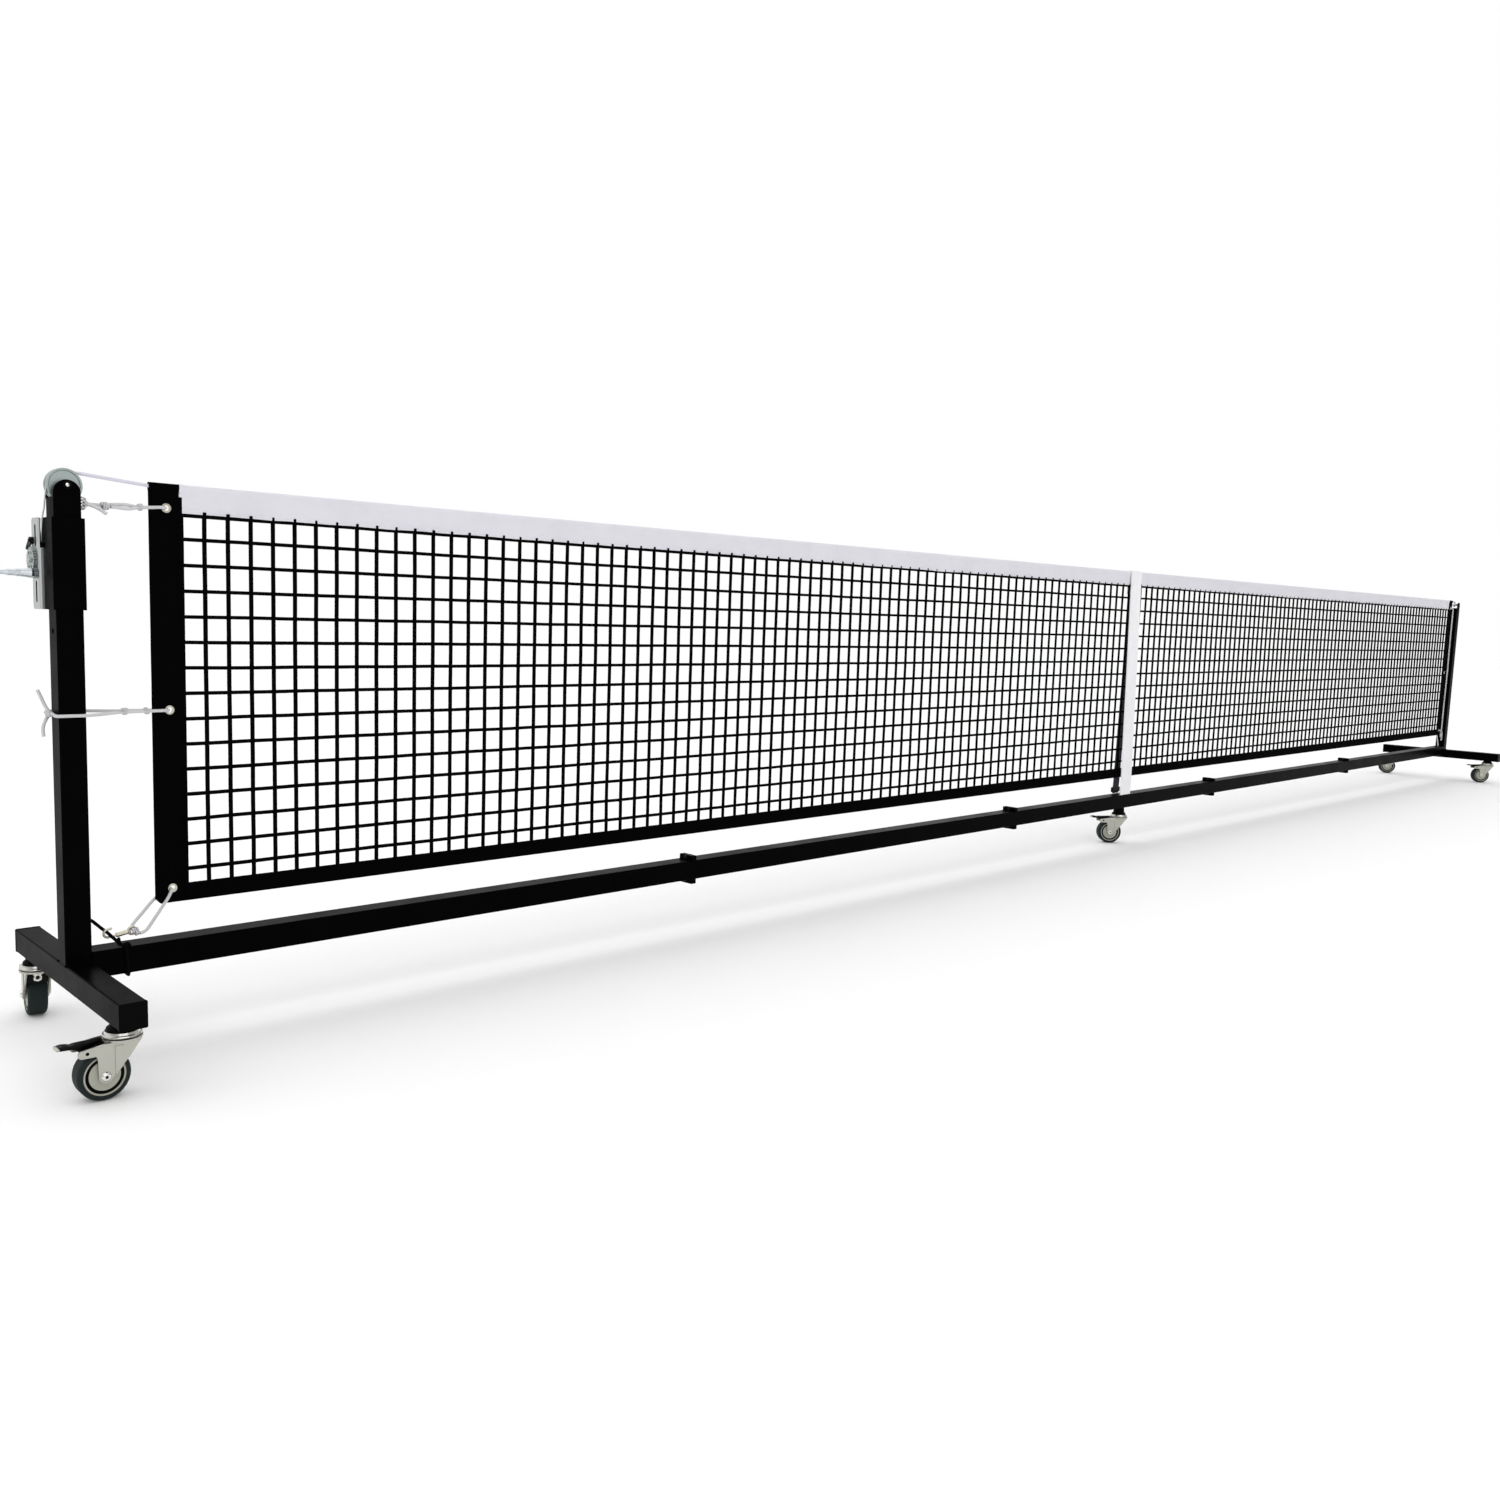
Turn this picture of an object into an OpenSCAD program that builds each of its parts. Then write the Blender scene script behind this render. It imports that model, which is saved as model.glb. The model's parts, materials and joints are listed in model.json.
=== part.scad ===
// Portable pickleball net on braked casters, with a hand winch that tensions the top cable.
// Millimetres. X runs along the net, Y from the front to the back, Z is up.
// The origin is on the floor, under the middle of the crossbar.

/* [Frame] */
// Distance between the centres of the two posts
post_pitch = 6666; // [6400:1:6700]
// Outside width of the square tube of the posts and feet
tube_w = 40; // [38:0.5:42]
// Wall of the square tube of the posts and feet
tube_wall = 2; // [1.5:0.25:3]
// Length of a foot tube without its end caps
foot_len = 524; // [480:1:640]
// Height of the underside of the feet above the floor
foot_z = 110; // [108:0.5:120]
// Outside width of the square tube of the crossbar
bar_w = 44; // [43:0.5:48]
// Wall of the crossbar tube
bar_wall = 2; // [1.5:0.25:3]
// Height of the crossbar's underside above the underside of the feet
bar_lift = 13; // [10:0.5:20]
// Height of a joint flange on the crossbar
flange_h = 66; // [64:1:76]
// Thickness of a joint flange
flange_t = 6; // [5:0.5:8]
// Thickness of an end cap's face
cap_t = 3; // [2:0.5:5]

/* [Net] */
// Height of the top of the net
net_top = 914; // [904:1:918]
// Height of the bottom of the net
net_bottom = 226; // [215:1:240]
// Gap between the left post and the net
left_gap = 113; // [108:1:118]
// Gap between the right post and the net
right_gap = 22; // [18:1:24]
// Height of the white headband
head_h = 47; // [40:1:60]
// Thickness of the headband
head_t = 8; // [7.5:0.25:10]
// Width of the side bands
side_w = 50; // [46:1:60]
// Height of the bottom band
hem_h = 30; // [24:1:40]
// Thickness of the side and bottom bands
band_t = 3; // [2:0.25:4]
// Gaps along the net in this coarse mesh
mesh_columns = 50; // [20:1:50]
// Gaps over the height of the net in this coarse mesh
mesh_rows = 6; // [3:1:6]
// Width of a mesh thread
thread_w = 5; // [3:0.5:8]
// Thickness of a mesh thread
thread_t = 2; // [1.5:0.25:3]
// Radius of the eye of a grommet
grommet_r = 4.5; // [4:0.25:6]
// Width of the centre strap
strap_w = 66; // [50:1:76]
// Thickness of the centre strap
strap_t = 2.4; // [1.5:0.1:3]

/* [Pulley and winch] */
// Height of the pulley's axle
pulley_z = 897; // [895:0.5:899]
// Outside radius of the pulley
pulley_r = 26; // [25.5:0.25:26.5]
// Radius of the bottom of the pulley's groove
groove_r = 22.5; // [22:0.25:22.9]
// Width of the pulley's rim
pulley_w = 16; // [12:0.5:20]
// Radius of the pulley's axle
pulley_axle_r = 4; // [3:0.25:5]
// Outside width of the winch sleeve
sleeve_w = 48; // [47:0.5:50]
// Height of the bottom of the winch sleeve
sleeve_z = 708; // [702:1:710]
// Height of the winch sleeve
sleeve_h = 140; // [136:1:142]
// Thickness of the winch bracket's sheet
bracket_t = 2.5; // [2:0.25:3]
// Depth of the winch bracket's cheeks behind the sleeve
cheek_d = 33; // [31:0.5:36]
// Teeth of the drum gear
gear_teeth = 26; // [26:1:26]
// Teeth of the pinion
pinion_teeth = 9; // [9:1:9]
// Tooth module of the winch gears
tooth_module = 1.5; // [1.5:0.1:1.5]
// Width of the gear teeth
gear_w = 5; // [4:0.5:6]
// Radius of the drum's core
drum_r = 9; // [8:0.25:9.5]
// Radius of the drum's flanges
drum_flange_r = 20; // [16:0.5:21]
// Length of the crank from its shaft to its grip
crank_len = 110; // [90:1:140]
// Length of the crank's grip
grip_len = 84; // [70:1:100]
// Radius of the crank's grip
grip_r = 13; // [11:0.5:16]

/* [Casters] */
// Radius of a caster's wheel
wheel_r = 38; // [36:0.25:38]
// Width of a caster's tyre
tyre_w = 32; // [28:0.5:32]
// Distance from the swivel's axis back to the wheel's axle
trail = 30; // [27:0.5:32]
// Distance of a caster from the end of the foot tube
caster_inset = 47; // [40:1:70]
// Radius of a wheel's axle
axle_r = 5; // [4:0.25:5.5]
// Radius of the swivel's kingpin
kingpin_r = 6; // [5:0.25:7]
// Gap between a caster's side plates
yoke_gap = 36; // [35.4:0.2:37]
// Thickness of a caster's side plates
yoke_t = 2.5; // [2:0.25:3]
// Radius of the swivel's ball race
race_r = 28; // [26:0.5:28.5]

/* [Hidden] */
$fn = 48;

// Clearances
seat = 0.3;
running = 0.05;
bolt_slack = 0.2;
bead_slack = 0.15;

// Places of the frame
half_pitch = post_pitch / 2;
foot_top = foot_z + tube_w;
bar_z = foot_z + bar_lift;
bar_mid_z = bar_z + bar_w / 2;
bar_top = bar_z + bar_w;
section_len = post_pitch / 5;
joint_x = section_len / 2;
outer_joint_x = joint_x + section_len;
tube_corner = 2.5;
stub_len = 120;
stub_wall = 2.5;
ear_drop = 20;
ear_arc_drop = 12;
flange_bolt_r = 3;
flange_bolt_z = bar_w / 2 + (flange_h - bar_w) / 4;
spare_hole_r = 4.5;
spare_hole_z = 675;
eye_z = 872;
eye_shank_r = 2.5;
spool_r = 8;

// Places of the net
net_x0 = -half_pitch + tube_w / 2 + left_gap;
net_x1 = half_pitch - tube_w / 2 - right_gap;
net_len = net_x1 - net_x0;
head_z = net_top - head_h;
hem_top = net_bottom + hem_h;
grommet_flange = 3.5;
grommet_wall = 1;
grommet_inset = 22;
grommet_top_z = 875;
grommet_mid_z = 548;
grommet_low_z = 250;
cable_r = 2.5;
wire_r = 1.2;
cable_z = net_top - 6;
strap_foot_y = 19;
strap_end_z = bar_top + seat;
strap_fold_z = net_top - 75;
tail_w = 38;
buckle_w = 46;
buckle_z = bar_top + 14;

// Places of the winch
bracket_y = sleeve_w / 2 + seat;
bracket_x0 = -31;
bracket_w = 50;
cheek_y1 = bracket_y + cheek_d;
gear_pitch_r = tooth_module * gear_teeth / 2;
pinion_pitch_r = tooth_module * pinion_teeth / 2;
pressure_angle = 25;
addendum = 0.8 * tooth_module;
dedendum = 1.0 * tooth_module;
backlash = 0.2;
drum_y = bracket_y + bracket_t + drum_flange_r + 3;
drum_z = sleeve_z + 75.5;
mesh_angle = 51;
centre_distance = gear_pitch_r + pinion_pitch_r;
pinion_y = drum_y - centre_distance * cos(mesh_angle);
pinion_z = drum_z - centre_distance * sin(mesh_angle);
drum_shaft_r = 5;
pinion_shaft_r = 4.5;
drum_flange_t = 1.8;
turns = 8;
turn_pitch = 2.9;
turn_rings = 24;
turn_r = drum_r + wire_r + 0.15;
turn_x0 = bracket_x0 + bracket_t + seat + drum_flange_t + wire_r + 1;
TURNS = [for (i = [0 : turns * turn_rings])
    let (a = 360 * i / turn_rings)
    [turn_x0 + turn_pitch * i / turn_rings, turn_r * cos(a), turn_r * sin(a)]];
turn_gap = min([for (i = [0 : len(TURNS) - turn_rings], k = [-1 : 1])
    let (j = i + turn_rings + k) if (j < len(TURNS)) norm(TURNS[j] - TURNS[i])]) - 2 * wire_r;
winch_bolt_z = [sleeve_z + 14, sleeve_z + sleeve_h - 12];
winch_bolt_x = -9;
winch_bolt_r = 4;
slot_w = 7;
slot_len = 34;
socket_len = 42;
rod_r = 3.5;
rod_reach = 66;
rod_bend = 14;
pawl_y = drum_y + 2;
pawl_z = drum_z + 30;
pawl_pin_r = 2.5;

// Path of the top cable
left_x = -half_pitch;
groove_path_r = groove_r + cable_r + seat;
arc_step = 22;
wire_path_r = (groove_r + wire_r + seat) / cos(arc_step / 2);
wire_start_x = turn_x0 - 0.6;
wire_x = -(sleeve_w / 2 + 2 * seat + wire_r);
hook_angle = -9;
routed_half = 20; // half width of the tube that the cord routes are laid round
hook_x = 71;
hook_y = -4;
hook_z = 186;

// Places of the casters: stem X, stem Y, turn about the stem, height of the tube above it
axle_z = wheel_r;
plate_z = wheel_r + 48;
plate_top = plate_z + 3;
race_top = plate_top + 9;
caster_y = foot_len / 2 - caster_inset;
CASTERS = [[-half_pitch, -caster_y, 0, foot_z],
           [-half_pitch, caster_y, -98, foot_z],
           [0, 0, -45, bar_z],
           [half_pitch, -caster_y, -50, foot_z],
           [half_pitch, caster_y, -60, foot_z]];
pedal_x = -55;
pedal_z = plate_z - 9;
pedal_pin_r = 2.5;
hub_r = 30;
hub_disc_r = 22.4;
hub_ring_r = 27.4;

// Routes of the cords; X is measured from the centre of the left post, or of the right post for SIDE_LACE
lace_r = 1.75;
bungee_r = 2;
TOP_LACE = [[60, -10, 858], [51, -9, 864], [42, -7, 868.5], [34, -5, 871], [29, 0, 872],
            [33, 5, 872.5], [42, 4, 872], [54, 2.6, 871.5], [70, 2.2, 872], [100, 2.2, 872.5],
            [130, 3, 874], [143, 7, 875], [150, 6.3, 875], [152.4, 3, 875], [152.6, 0, 875],
            [152.4, -3, 875], [150, -6.3, 875], [143, -7, 875], [130, -3, 874],
            [100, -2.2, 872.5], [74, -2.2, 871.5], [68, -3.6, 870]];
MIDDLE_LACE = [[-41, 14, 584], [-37, 12, 574], [-33, 9, 562], [-29, 2, 552], [-24, -8, 546],
               [-23.5, -14, 545], [-22, -20.5, 545], [-18, -22.1, 545], [-2, -22.1, 545],
               [20, -22.1, 545], [48, -12, 545.5], [72, -2.4, 546.5], [95, -2.2, 547],
               [125, -2.8, 547.5], [143, -7, 548], [150, -6.3, 548], [152.4, -3, 548],
               [152.6, 0, 548], [152.4, 3, 548], [150, 6.3, 548], [143, 7, 548],
               [125, 2.8, 548.5], [95, 2.2, 549], [72, 2.4, 549], [48, 12, 549],
               [20, 22.1, 549], [-2, 22.1, 549], [-18, 22.1, 549], [-22, 20.5, 549],
               [-24, 15, 547], [-31, 9, 538], [-36, 7, 526], [-36, 5, 512]];
LOW_LACE = [[82, -11, 184], [86.5, -4, 188.5], [90, 2, 193], [97, 5, 201], [111, 5.5, 214],
            [128, 6, 229], [143, 7, 241], [151, 6.3, 247], [153, 3, 248.3], [153.2, 0, 248.4],
            [153, -3, 248.3], [151, -6.3, 247], [143, -7, 240], [128, -7, 226],
            [113, -8, 212], [101, -10, 200], [93, -12.5, 192]];
SIDE_LACE = [[-77, 8, 876], [-70, 7.5, 876], [-64, 6.3, 875.5], [-61.8, 3, 875],
             [-61.6, 0, 875], [-61.8, -3, 875], [-59.6, -6.3, 874.5], [-53, -7.5, 873],
             [-43, -7.5, 869], [-35, -6, 862], [-31, -5, 850], [-31, -5, 700], [-31, -6, 548],
             [-31, -5, 400], [-31, -5, 272], [-35, -6, 262], [-43, -7.5, 255],
             [-53, -7.5, 251.5], [-59.6, -6.3, 250.5], [-61.8, -3, 250], [-61.6, 0, 250],
             [-61.8, 3, 250], [-60.5, 6.3, 249], [-57, 8, 244], [-51, 8.5, 230], [-47, 7, 212],
             [-45, 4, 194], [-45, 1, 178], [-45, 0, 167.4]];
BUNGEE = [[14, 0, 214], [24, 0, 214], [33, 3, 206], [43, 4, 196], [49, -4, 190],
          [57, -14, 180], [65, -18.5, 171.5], [69, -24, 168], [71, -24.3, 163],
          [72, -24.3, 146], [73, -24.3, 130], [74, -24.2, 123.5], [74, -22.4, 120.8],
          [74, -19, 120.6], [75, 0, 120.6], [75, 19, 120.6], [75, 22.4, 120.8],
          [75, 24.2, 123.5], [76, 24.3, 130], [76, 24.3, 163], [75, 24, 168], [73, 18, 172]];

// ---- shared shapes ----

// A square with round corners, centred
module round_square(w, d, r) {
    square([w - 2 * r, d], center = true);
    square([w, d - 2 * r], center = true);
    for (x = [-1, 1], y = [-1, 1])
        translate([x * (w / 2 - r), y * (d / 2 - r)]) circle(r);
}

// A square tube along Z
module square_tube(w, wall, len) {
    linear_extrude(len) difference() {
        round_square(w, w, tube_corner);
        round_square(w - 2 * wall, w - 2 * wall, tube_corner - wall);
    }
}

// A cylinder along X that starts at x
module rod_x(x, len, r) {
    translate([x, 0, 0]) rotate([0, 90, 0]) cylinder(h = len, r = r);
}

// A cylinder along Y, centred
module rod_y(len, r) {
    rotate([90, 0, 0]) cylinder(h = len, r = r, center = true);
}

// A flat shape drawn in Y and Z, given a thickness along X
module extrude_x(x, len) {
    translate([x, 0, 0]) rotate([90, 0, 90]) linear_extrude(len) children();
}

// A flat shape drawn in X and Z, given a thickness along Y, centred
module extrude_y(len) {
    rotate([90, 0, 0]) linear_extrude(len, center = true) children();
}

// Sweep of a round section along a list of points
function unit(v) = v / norm(v);
function tangent(p, i) = unit(p[min(i + 1, len(p) - 1)] - p[max(i - 1, 0)]);
function first_normal(t) = unit(cross(t, abs(t[1]) < 0.8 ? [0, 1, 0] : [1, 0, 0]));
function square_to(n, t) = unit(n - (n * t) * t);
function normals(p) = [for (i = 0, n = first_normal(tangent(p, 0)); i < len(p);
                            i = i + 1, n = i < len(p) ? square_to(n, tangent(p, i)) : n) n];
function ring(c, n, b, r, sides) = [for (k = [0 : sides - 1])
    c + r * (cos(360 * k / sides) * n + sin(360 * k / sides) * b)];
module sweep(path, radii, sides) {
    n = normals(path);
    rings = [for (i = [0 : len(path) - 1])
        each ring(path[i], n[i], cross(tangent(path, i), n[i]), radii[i], sides)];
    last = (len(path) - 1) * sides;
    walls = [for (i = [0 : len(path) - 2], k = [0 : sides - 1], half = [0, 1])
        let (a = i * sides + k, b = i * sides + (k + 1) % sides)
        half == 0 ? [a, a + sides, b] : [b, a + sides, b + sides]];
    caps = [[for (k = [0 : sides - 1]) k],
            [for (k = [sides - 1 : -1 : 0]) last + k]];
    polyhedron(rings, concat(walls, caps), convexity = 10);
}
// A cord laid beside or round a post: its route spreads with the width of the tube
function spread(v) = (tube_w / 2 - routed_half) * max(-1, min(1, v / routed_half));
module cord(path, r, x, round_post = 0) {
    sweep([for (p = path) p + [x + spread(p[0]), round_post * spread(p[1]), 0]], [for (p = path) r], 8);
}

// ---- frame ----

// Two ears at the head of a post, with a round top and a hole for the bolt
module post_head_cut() {
    ear_z = pulley_z - ear_drop;
    translate([-tube_w, -tube_w / 2 + tube_wall, ear_z])
        cube([2 * tube_w, tube_w - 2 * tube_wall, tube_w * 2]);
    difference() {
        translate([-tube_w, -tube_w, pulley_z - ear_arc_drop]) cube([2 * tube_w, 2 * tube_w, 3 * tube_w]);
        translate([0, 0, pulley_z - ear_arc_drop]) rod_y(3 * tube_w, tube_w / 2);
    }
    translate([0, 0, pulley_z]) rod_y(2 * tube_w, pulley_axle_r + running);
}

module post() {
    difference() {
        translate([0, 0, foot_top]) square_tube(tube_w, tube_wall, pulley_z + ear_drop - foot_top);
        post_head_cut();
    }
}

module left_post() {
    color([0.02, 0.02, 0.02]) difference() {
        translate([-half_pitch, 0, 0]) post();
        // a spare hole in the outer wall
        translate([-half_pitch, 0, spare_hole_z]) rod_x(-tube_w, tube_w, spare_hole_r);
        // holes for the lacing eye and the bungee, in the wall that faces the net
        translate([-half_pitch, 0, eye_z]) rod_x(0, tube_w, eye_shank_r + running);
        translate([-half_pitch, 0, BUNGEE[0][2]]) rod_x(0, tube_w, bungee_r + 0.5);
        for (z = winch_bolt_z)
            translate([-half_pitch + winch_bolt_x, tube_w / 2, z])
                rod_y(tube_w / 2, winch_bolt_r + bolt_slack);
    }
}

module right_post() {
    color([0.02, 0.02, 0.02]) translate([half_pitch, 0, 0]) post();
}

// A foot tube along Y, drilled for its casters, with the stub that carries the crossbar
module foot(side) {
    difference() {
        translate([0, foot_len / 2, foot_z + tube_w / 2]) rotate([90, 0, 0])
            square_tube(tube_w, tube_wall, foot_len);
        for (y = [-caster_y, caster_y])
            translate([0, y, foot_z - 1]) cylinder(h = tube_w / 2, r = kingpin_r + bolt_slack);
    }
    stub_w = bar_w - 2 * bar_wall - 2 * seat;
    // it starts inside the foot's wall, and above the foot at the post's face
    difference() {
        translate([side * (tube_w / 2 - tube_wall), 0, bar_mid_z]) rotate([0, side * 90, 0])
            square_tube(stub_w, stub_wall, stub_len + tube_wall);
        translate([-tube_w / 2, -bar_w / 2, foot_top]) cube([tube_w, bar_w, bar_w]);
    }
}

module left_foot() {
    color([0.02, 0.02, 0.02]) translate([-half_pitch, 0, 0]) foot(1);
}

module right_foot() {
    color([0.02, 0.02, 0.02]) translate([half_pitch, 0, 0]) foot(-1);
}

// Plastic caps with a hollow plug, at both ends of both feet
module foot_end_caps() {
    plug_w = tube_w - 2 * tube_wall - 2 * seat;
    plug_len = 14;
    plug_wall = 2;
    color([0.03, 0.03, 0.03])
    for (x = [-half_pitch, half_pitch], s = [-1, 1])
        translate([x, s * foot_len / 2, foot_z + tube_w / 2]) rotate([-s * 90, 0, 0]) {
            linear_extrude(cap_t) round_square(tube_w + 1, tube_w + 1, tube_corner);
            translate([0, 0, -plug_len]) linear_extrude(plug_len + cap_t / 2) difference() {
                round_square(plug_w, plug_w, plug_wall);
                square(plug_w - 2 * plug_wall, center = true);
            }
        }
}

// A joint flange, drilled above and below the tube
module flange(x) {
    extrude_x(x, flange_t) difference() {
        translate([0, bar_mid_z]) round_square(bar_w, flange_h, 3);
        for (s = [-1, 1])
            translate([0, bar_mid_z + s * flange_bolt_z]) circle(flange_bolt_r + bolt_slack);
    }
}

// A crossbar section from x0 to x1, with a flange where flanged
module bar_section(x0, x1, flange0, flange1) {
    a = x0 + (flange0 ? flange_t / 2 : 0);
    b = x1 - (flange1 ? flange_t / 2 : 0);
    translate([a, 0, bar_mid_z]) rotate([0, 90, 0]) square_tube(bar_w, bar_wall, b - a);
    if (flange0) flange(x0);
    if (flange1) flange(x1 - flange_t);
}

module crossbar_left_end() {
    color([0.02, 0.02, 0.02]) bar_section(-half_pitch + tube_w / 2 + seat, -outer_joint_x, false, true);
}
module crossbar_left_inner() {
    color([0.02, 0.02, 0.02]) bar_section(-outer_joint_x, -joint_x, true, true);
}
module crossbar_centre() {
    color([0.02, 0.02, 0.02]) difference() {
        bar_section(-joint_x, joint_x, true, true);
        translate([0, 0, bar_z - 1]) cylinder(h = bar_w / 2, r = kingpin_r + bolt_slack);
    }
}
module crossbar_right_inner() {
    color([0.02, 0.02, 0.02]) bar_section(joint_x, outer_joint_x, true, true);
}
module crossbar_right_end() {
    color([0.02, 0.02, 0.02]) bar_section(outer_joint_x, half_pitch - tube_w / 2 - seat, true, false);
}

// Bolts with nuts through the flanges of the four joints
module flange_bolts() {
    head_h = 4;
    color([0.12, 0.12, 0.13])
    for (x = [-outer_joint_x, -joint_x, joint_x, outer_joint_x], s = [-1, 1])
        translate([x, 0, bar_mid_z + s * flange_bolt_z]) {
            rod_x(-flange_t - head_h, 2 * flange_t + 2 * head_h + 3, flange_bolt_r);
            translate([-flange_t - head_h, 0, 0]) rotate([0, 90, 0]) cylinder(h = head_h, r = 5, $fn = 6);
            translate([flange_t, 0, 0]) rotate([0, 90, 0]) cylinder(h = head_h + 1, r = 5, $fn = 6);
        }
}

// ---- casters ----

module at_caster(i) {
    translate([CASTERS[i][0], CASTERS[i][1], 0]) rotate([0, 0, CASTERS[i][2]]) children();
}

// Kingpin with its lower nut, the ball race that it carries and its nut inside the tube
module caster_stems() {
    color([0.75, 0.75, 0.72])
    for (c = CASTERS)
        translate([c[0], c[1], 0]) {
            under = c[3] + (c[3] > foot_z ? bar_wall : tube_wall);
            race_h = race_top - plate_top - seat;
            translate([0, 0, plate_z - 8]) cylinder(h = under + 14 - plate_z + 8, r = kingpin_r);
            translate([0, 0, plate_z - 8]) cylinder(h = 8 - seat, r = kingpin_r + 4);
            translate([0, 0, under]) cylinder(h = 10, r = kingpin_r + 4.5, $fn = 6);
            translate([0, 0, plate_top + seat]) rotate_extrude()
                polygon([[0, 0], [race_r - 4, 0], [race_r - 1, 1.2], [race_r, 3], [race_r - 0.6, 4.6],
                         [race_r - 3, 5.4], [race_r - 4, race_h], [0, race_h]]);
        }
}

// Black seats between the races and the tubes
module caster_spacers() {
    disc_r = tube_w / 2 + 2;
    color([0.03, 0.03, 0.03])
    for (c = CASTERS)
        translate([c[0], c[1], race_top]) rotate_extrude()
            polygon([[kingpin_r + bolt_slack, 0], [disc_r, 0], [disc_r, 4], [disc_r - 4, 7],
                     [disc_r - 6, c[3] - race_top], [kingpin_r + bolt_slack, c[3] - race_top]]);
}

// Outline of a caster's side plate, seen from the side
module side_plate_outline() {
    axle = [-trail, axle_z];
    polygon([[-62, pedal_z + 5.5], [-58, pedal_z + 6], [-20, plate_top], [24, plate_top],
             [14, plate_top - 13], [5, plate_top - 26], axle + [7.55, -6.56],
             axle + [0, 0], axle + [-10, -0.3],
             [-trail - 11, plate_top - 23], [-trail - 13, plate_top - 18.5], [-62, pedal_z - 6.5]]);
    translate(axle) circle(10);
    translate([-62, pedal_z - 0.5]) circle(6);
}

// Stamped yoke with ribs, and the axle bolt that it holds
module caster_yoke() {
    wide = yoke_gap / 2 + yoke_t;
    difference() {
        union() {
            intersection() {
                extrude_y(3 * wide) side_plate_outline();
                translate([-100, 0, 0]) rotate([90, 0, 90]) linear_extrude(150) difference() {
                    union() {
                        translate([-wide, 0]) square([2 * wide, plate_top - 6]);
                        translate([-wide + 6, 0]) square([2 * wide - 12, plate_top]);
                        for (s = [-1, 1]) translate([s * (wide - 6), plate_top - 6]) circle(6);
                    }
                    translate([-yoke_gap / 2, -1]) square([yoke_gap, plate_z - 3 + 1]);
                    translate([-yoke_gap / 2 + 3, -1]) square([yoke_gap - 6, plate_z + 1]);
                    for (s = [-1, 1]) translate([s * (yoke_gap / 2 - 3), plate_z - 3]) circle(3);
                }
            }
            translate([0, 0, plate_z]) cylinder(h = plate_top - plate_z, r = race_r + 0.5);
            for (s = [-1, 1])
                translate([0, s * (wide + 0.5), 0]) extrude_y(1.6) intersection() {
                    side_plate_outline();
                    translate([-17, axle_z - 6]) square([12, plate_top - axle_z - 2]);
                }
        }
        // the rear of the top is open for the pedal
        translate([-100, -yoke_gap / 2, plate_z - 30]) cube([100 - race_r - 1, yoke_gap, 60]);
        translate([0, 0, plate_z - 1]) cylinder(h = 10, r = kingpin_r + running);
        translate([-trail, 0, axle_z]) rod_y(3 * wide, axle_r + running);
        translate([pedal_x, 0, pedal_z]) rod_y(3 * wide, pedal_pin_r + running);
    }
    // axle bolt with a domed head and a nut
    head_h = 3.5;
    translate([-trail, 0, axle_z]) {
        rod_y(2 * wide, axle_r);
        for (s = [-1, 1])
            translate([0, s * wide, 0]) rotate([-s * 90, 0, 0])
                rotate_extrude() polygon([[0, 0], [6.5, 0], [6.5, 1.2], [5, 2.8], [3, head_h], [0, head_h]]);
    }
}

// Wheel centre with a bearing boss, a disc, a groove and a rim ring
module caster_hub() {
    face = tyre_w / 2 - 1;
    boss = yoke_gap / 2 - seat;
    bore = axle_r + running;
    translate([-trail, 0, axle_z]) rotate([90, 0, 0]) rotate_extrude()
        polygon([[bore, -boss], [8, -boss], [9.5, -face], [hub_disc_r, -face + 0.6], [hub_disc_r, -face + 3],
                 [hub_ring_r, -face + 3], [hub_ring_r, -face], [hub_r, -face], [hub_r, face],
                 [hub_ring_r, face], [hub_ring_r, face - 3], [hub_disc_r, face - 3],
                 [hub_disc_r, face - 0.6], [9.5, face], [8, boss], [bore, boss]]);
}

// Solid rubber tyre with rolled shoulders
module caster_tyre() {
    half = tyre_w / 2;
    shoulder = 6;
    bead = hub_r + bead_slack;
    rolled = [for (a = [0 : 15 : 90]) shoulder * [sin(a), cos(a)]];
    top = [for (p = rolled) [wheel_r - shoulder, half - shoulder] + p];
    translate([-trail, 0, axle_z]) rotate([90, 0, 0]) rotate_extrude()
        polygon(concat([[bead, -half], [bead, half]], top,
                       [for (i = [len(top) - 1 : -1 : 0]) [top[i][0], -top[i][1]]]));
}

// Brake pedal with its pin and the tongue that presses on the tyre
module caster_pedal() {
    wide = yoke_gap / 2 - 1.5;
    extrude_y(2 * wide - 6) {
        // the cam reaches down to the tyre
        polygon([[-32, plate_z + 6], [-32, plate_z + 2.5], [-48, pedal_z + 3], [-51.5, pedal_z - 4],
                 [-52.2, pedal_z - 7.4], [-57, pedal_z - 6], [-61, pedal_z], [-71, pedal_z + 5],
                 [-79, pedal_z + 9], [-71, pedal_z + 12], [-56, pedal_z + 12]]);
        translate([pedal_x, pedal_z]) circle(5);
    }
    // foot pad
    extrude_y(2 * wide - 10) {
        polygon([[-77, pedal_z + 5.5], [-90, pedal_z + 7.5], [-90, pedal_z + 12.5], [-77, pedal_z + 13]]);
        translate([-90, pedal_z + 10]) circle(2.5);
    }
    translate([pedal_x, 0, pedal_z]) rod_y(yoke_gap + 2 * yoke_t + 1, pedal_pin_r);
}

module caster_part(i, part) {
    at_caster(i) {
        if (part == "yoke") color([0.72, 0.71, 0.68]) caster_yoke();
        if (part == "hub") color([0.66, 0.66, 0.62]) caster_hub();
        if (part == "tyre") color([0.05, 0.07, 0.07]) caster_tyre();
        if (part == "pedal") color([0.05, 0.05, 0.05]) caster_pedal();
    }
}

// ---- net ----

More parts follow.
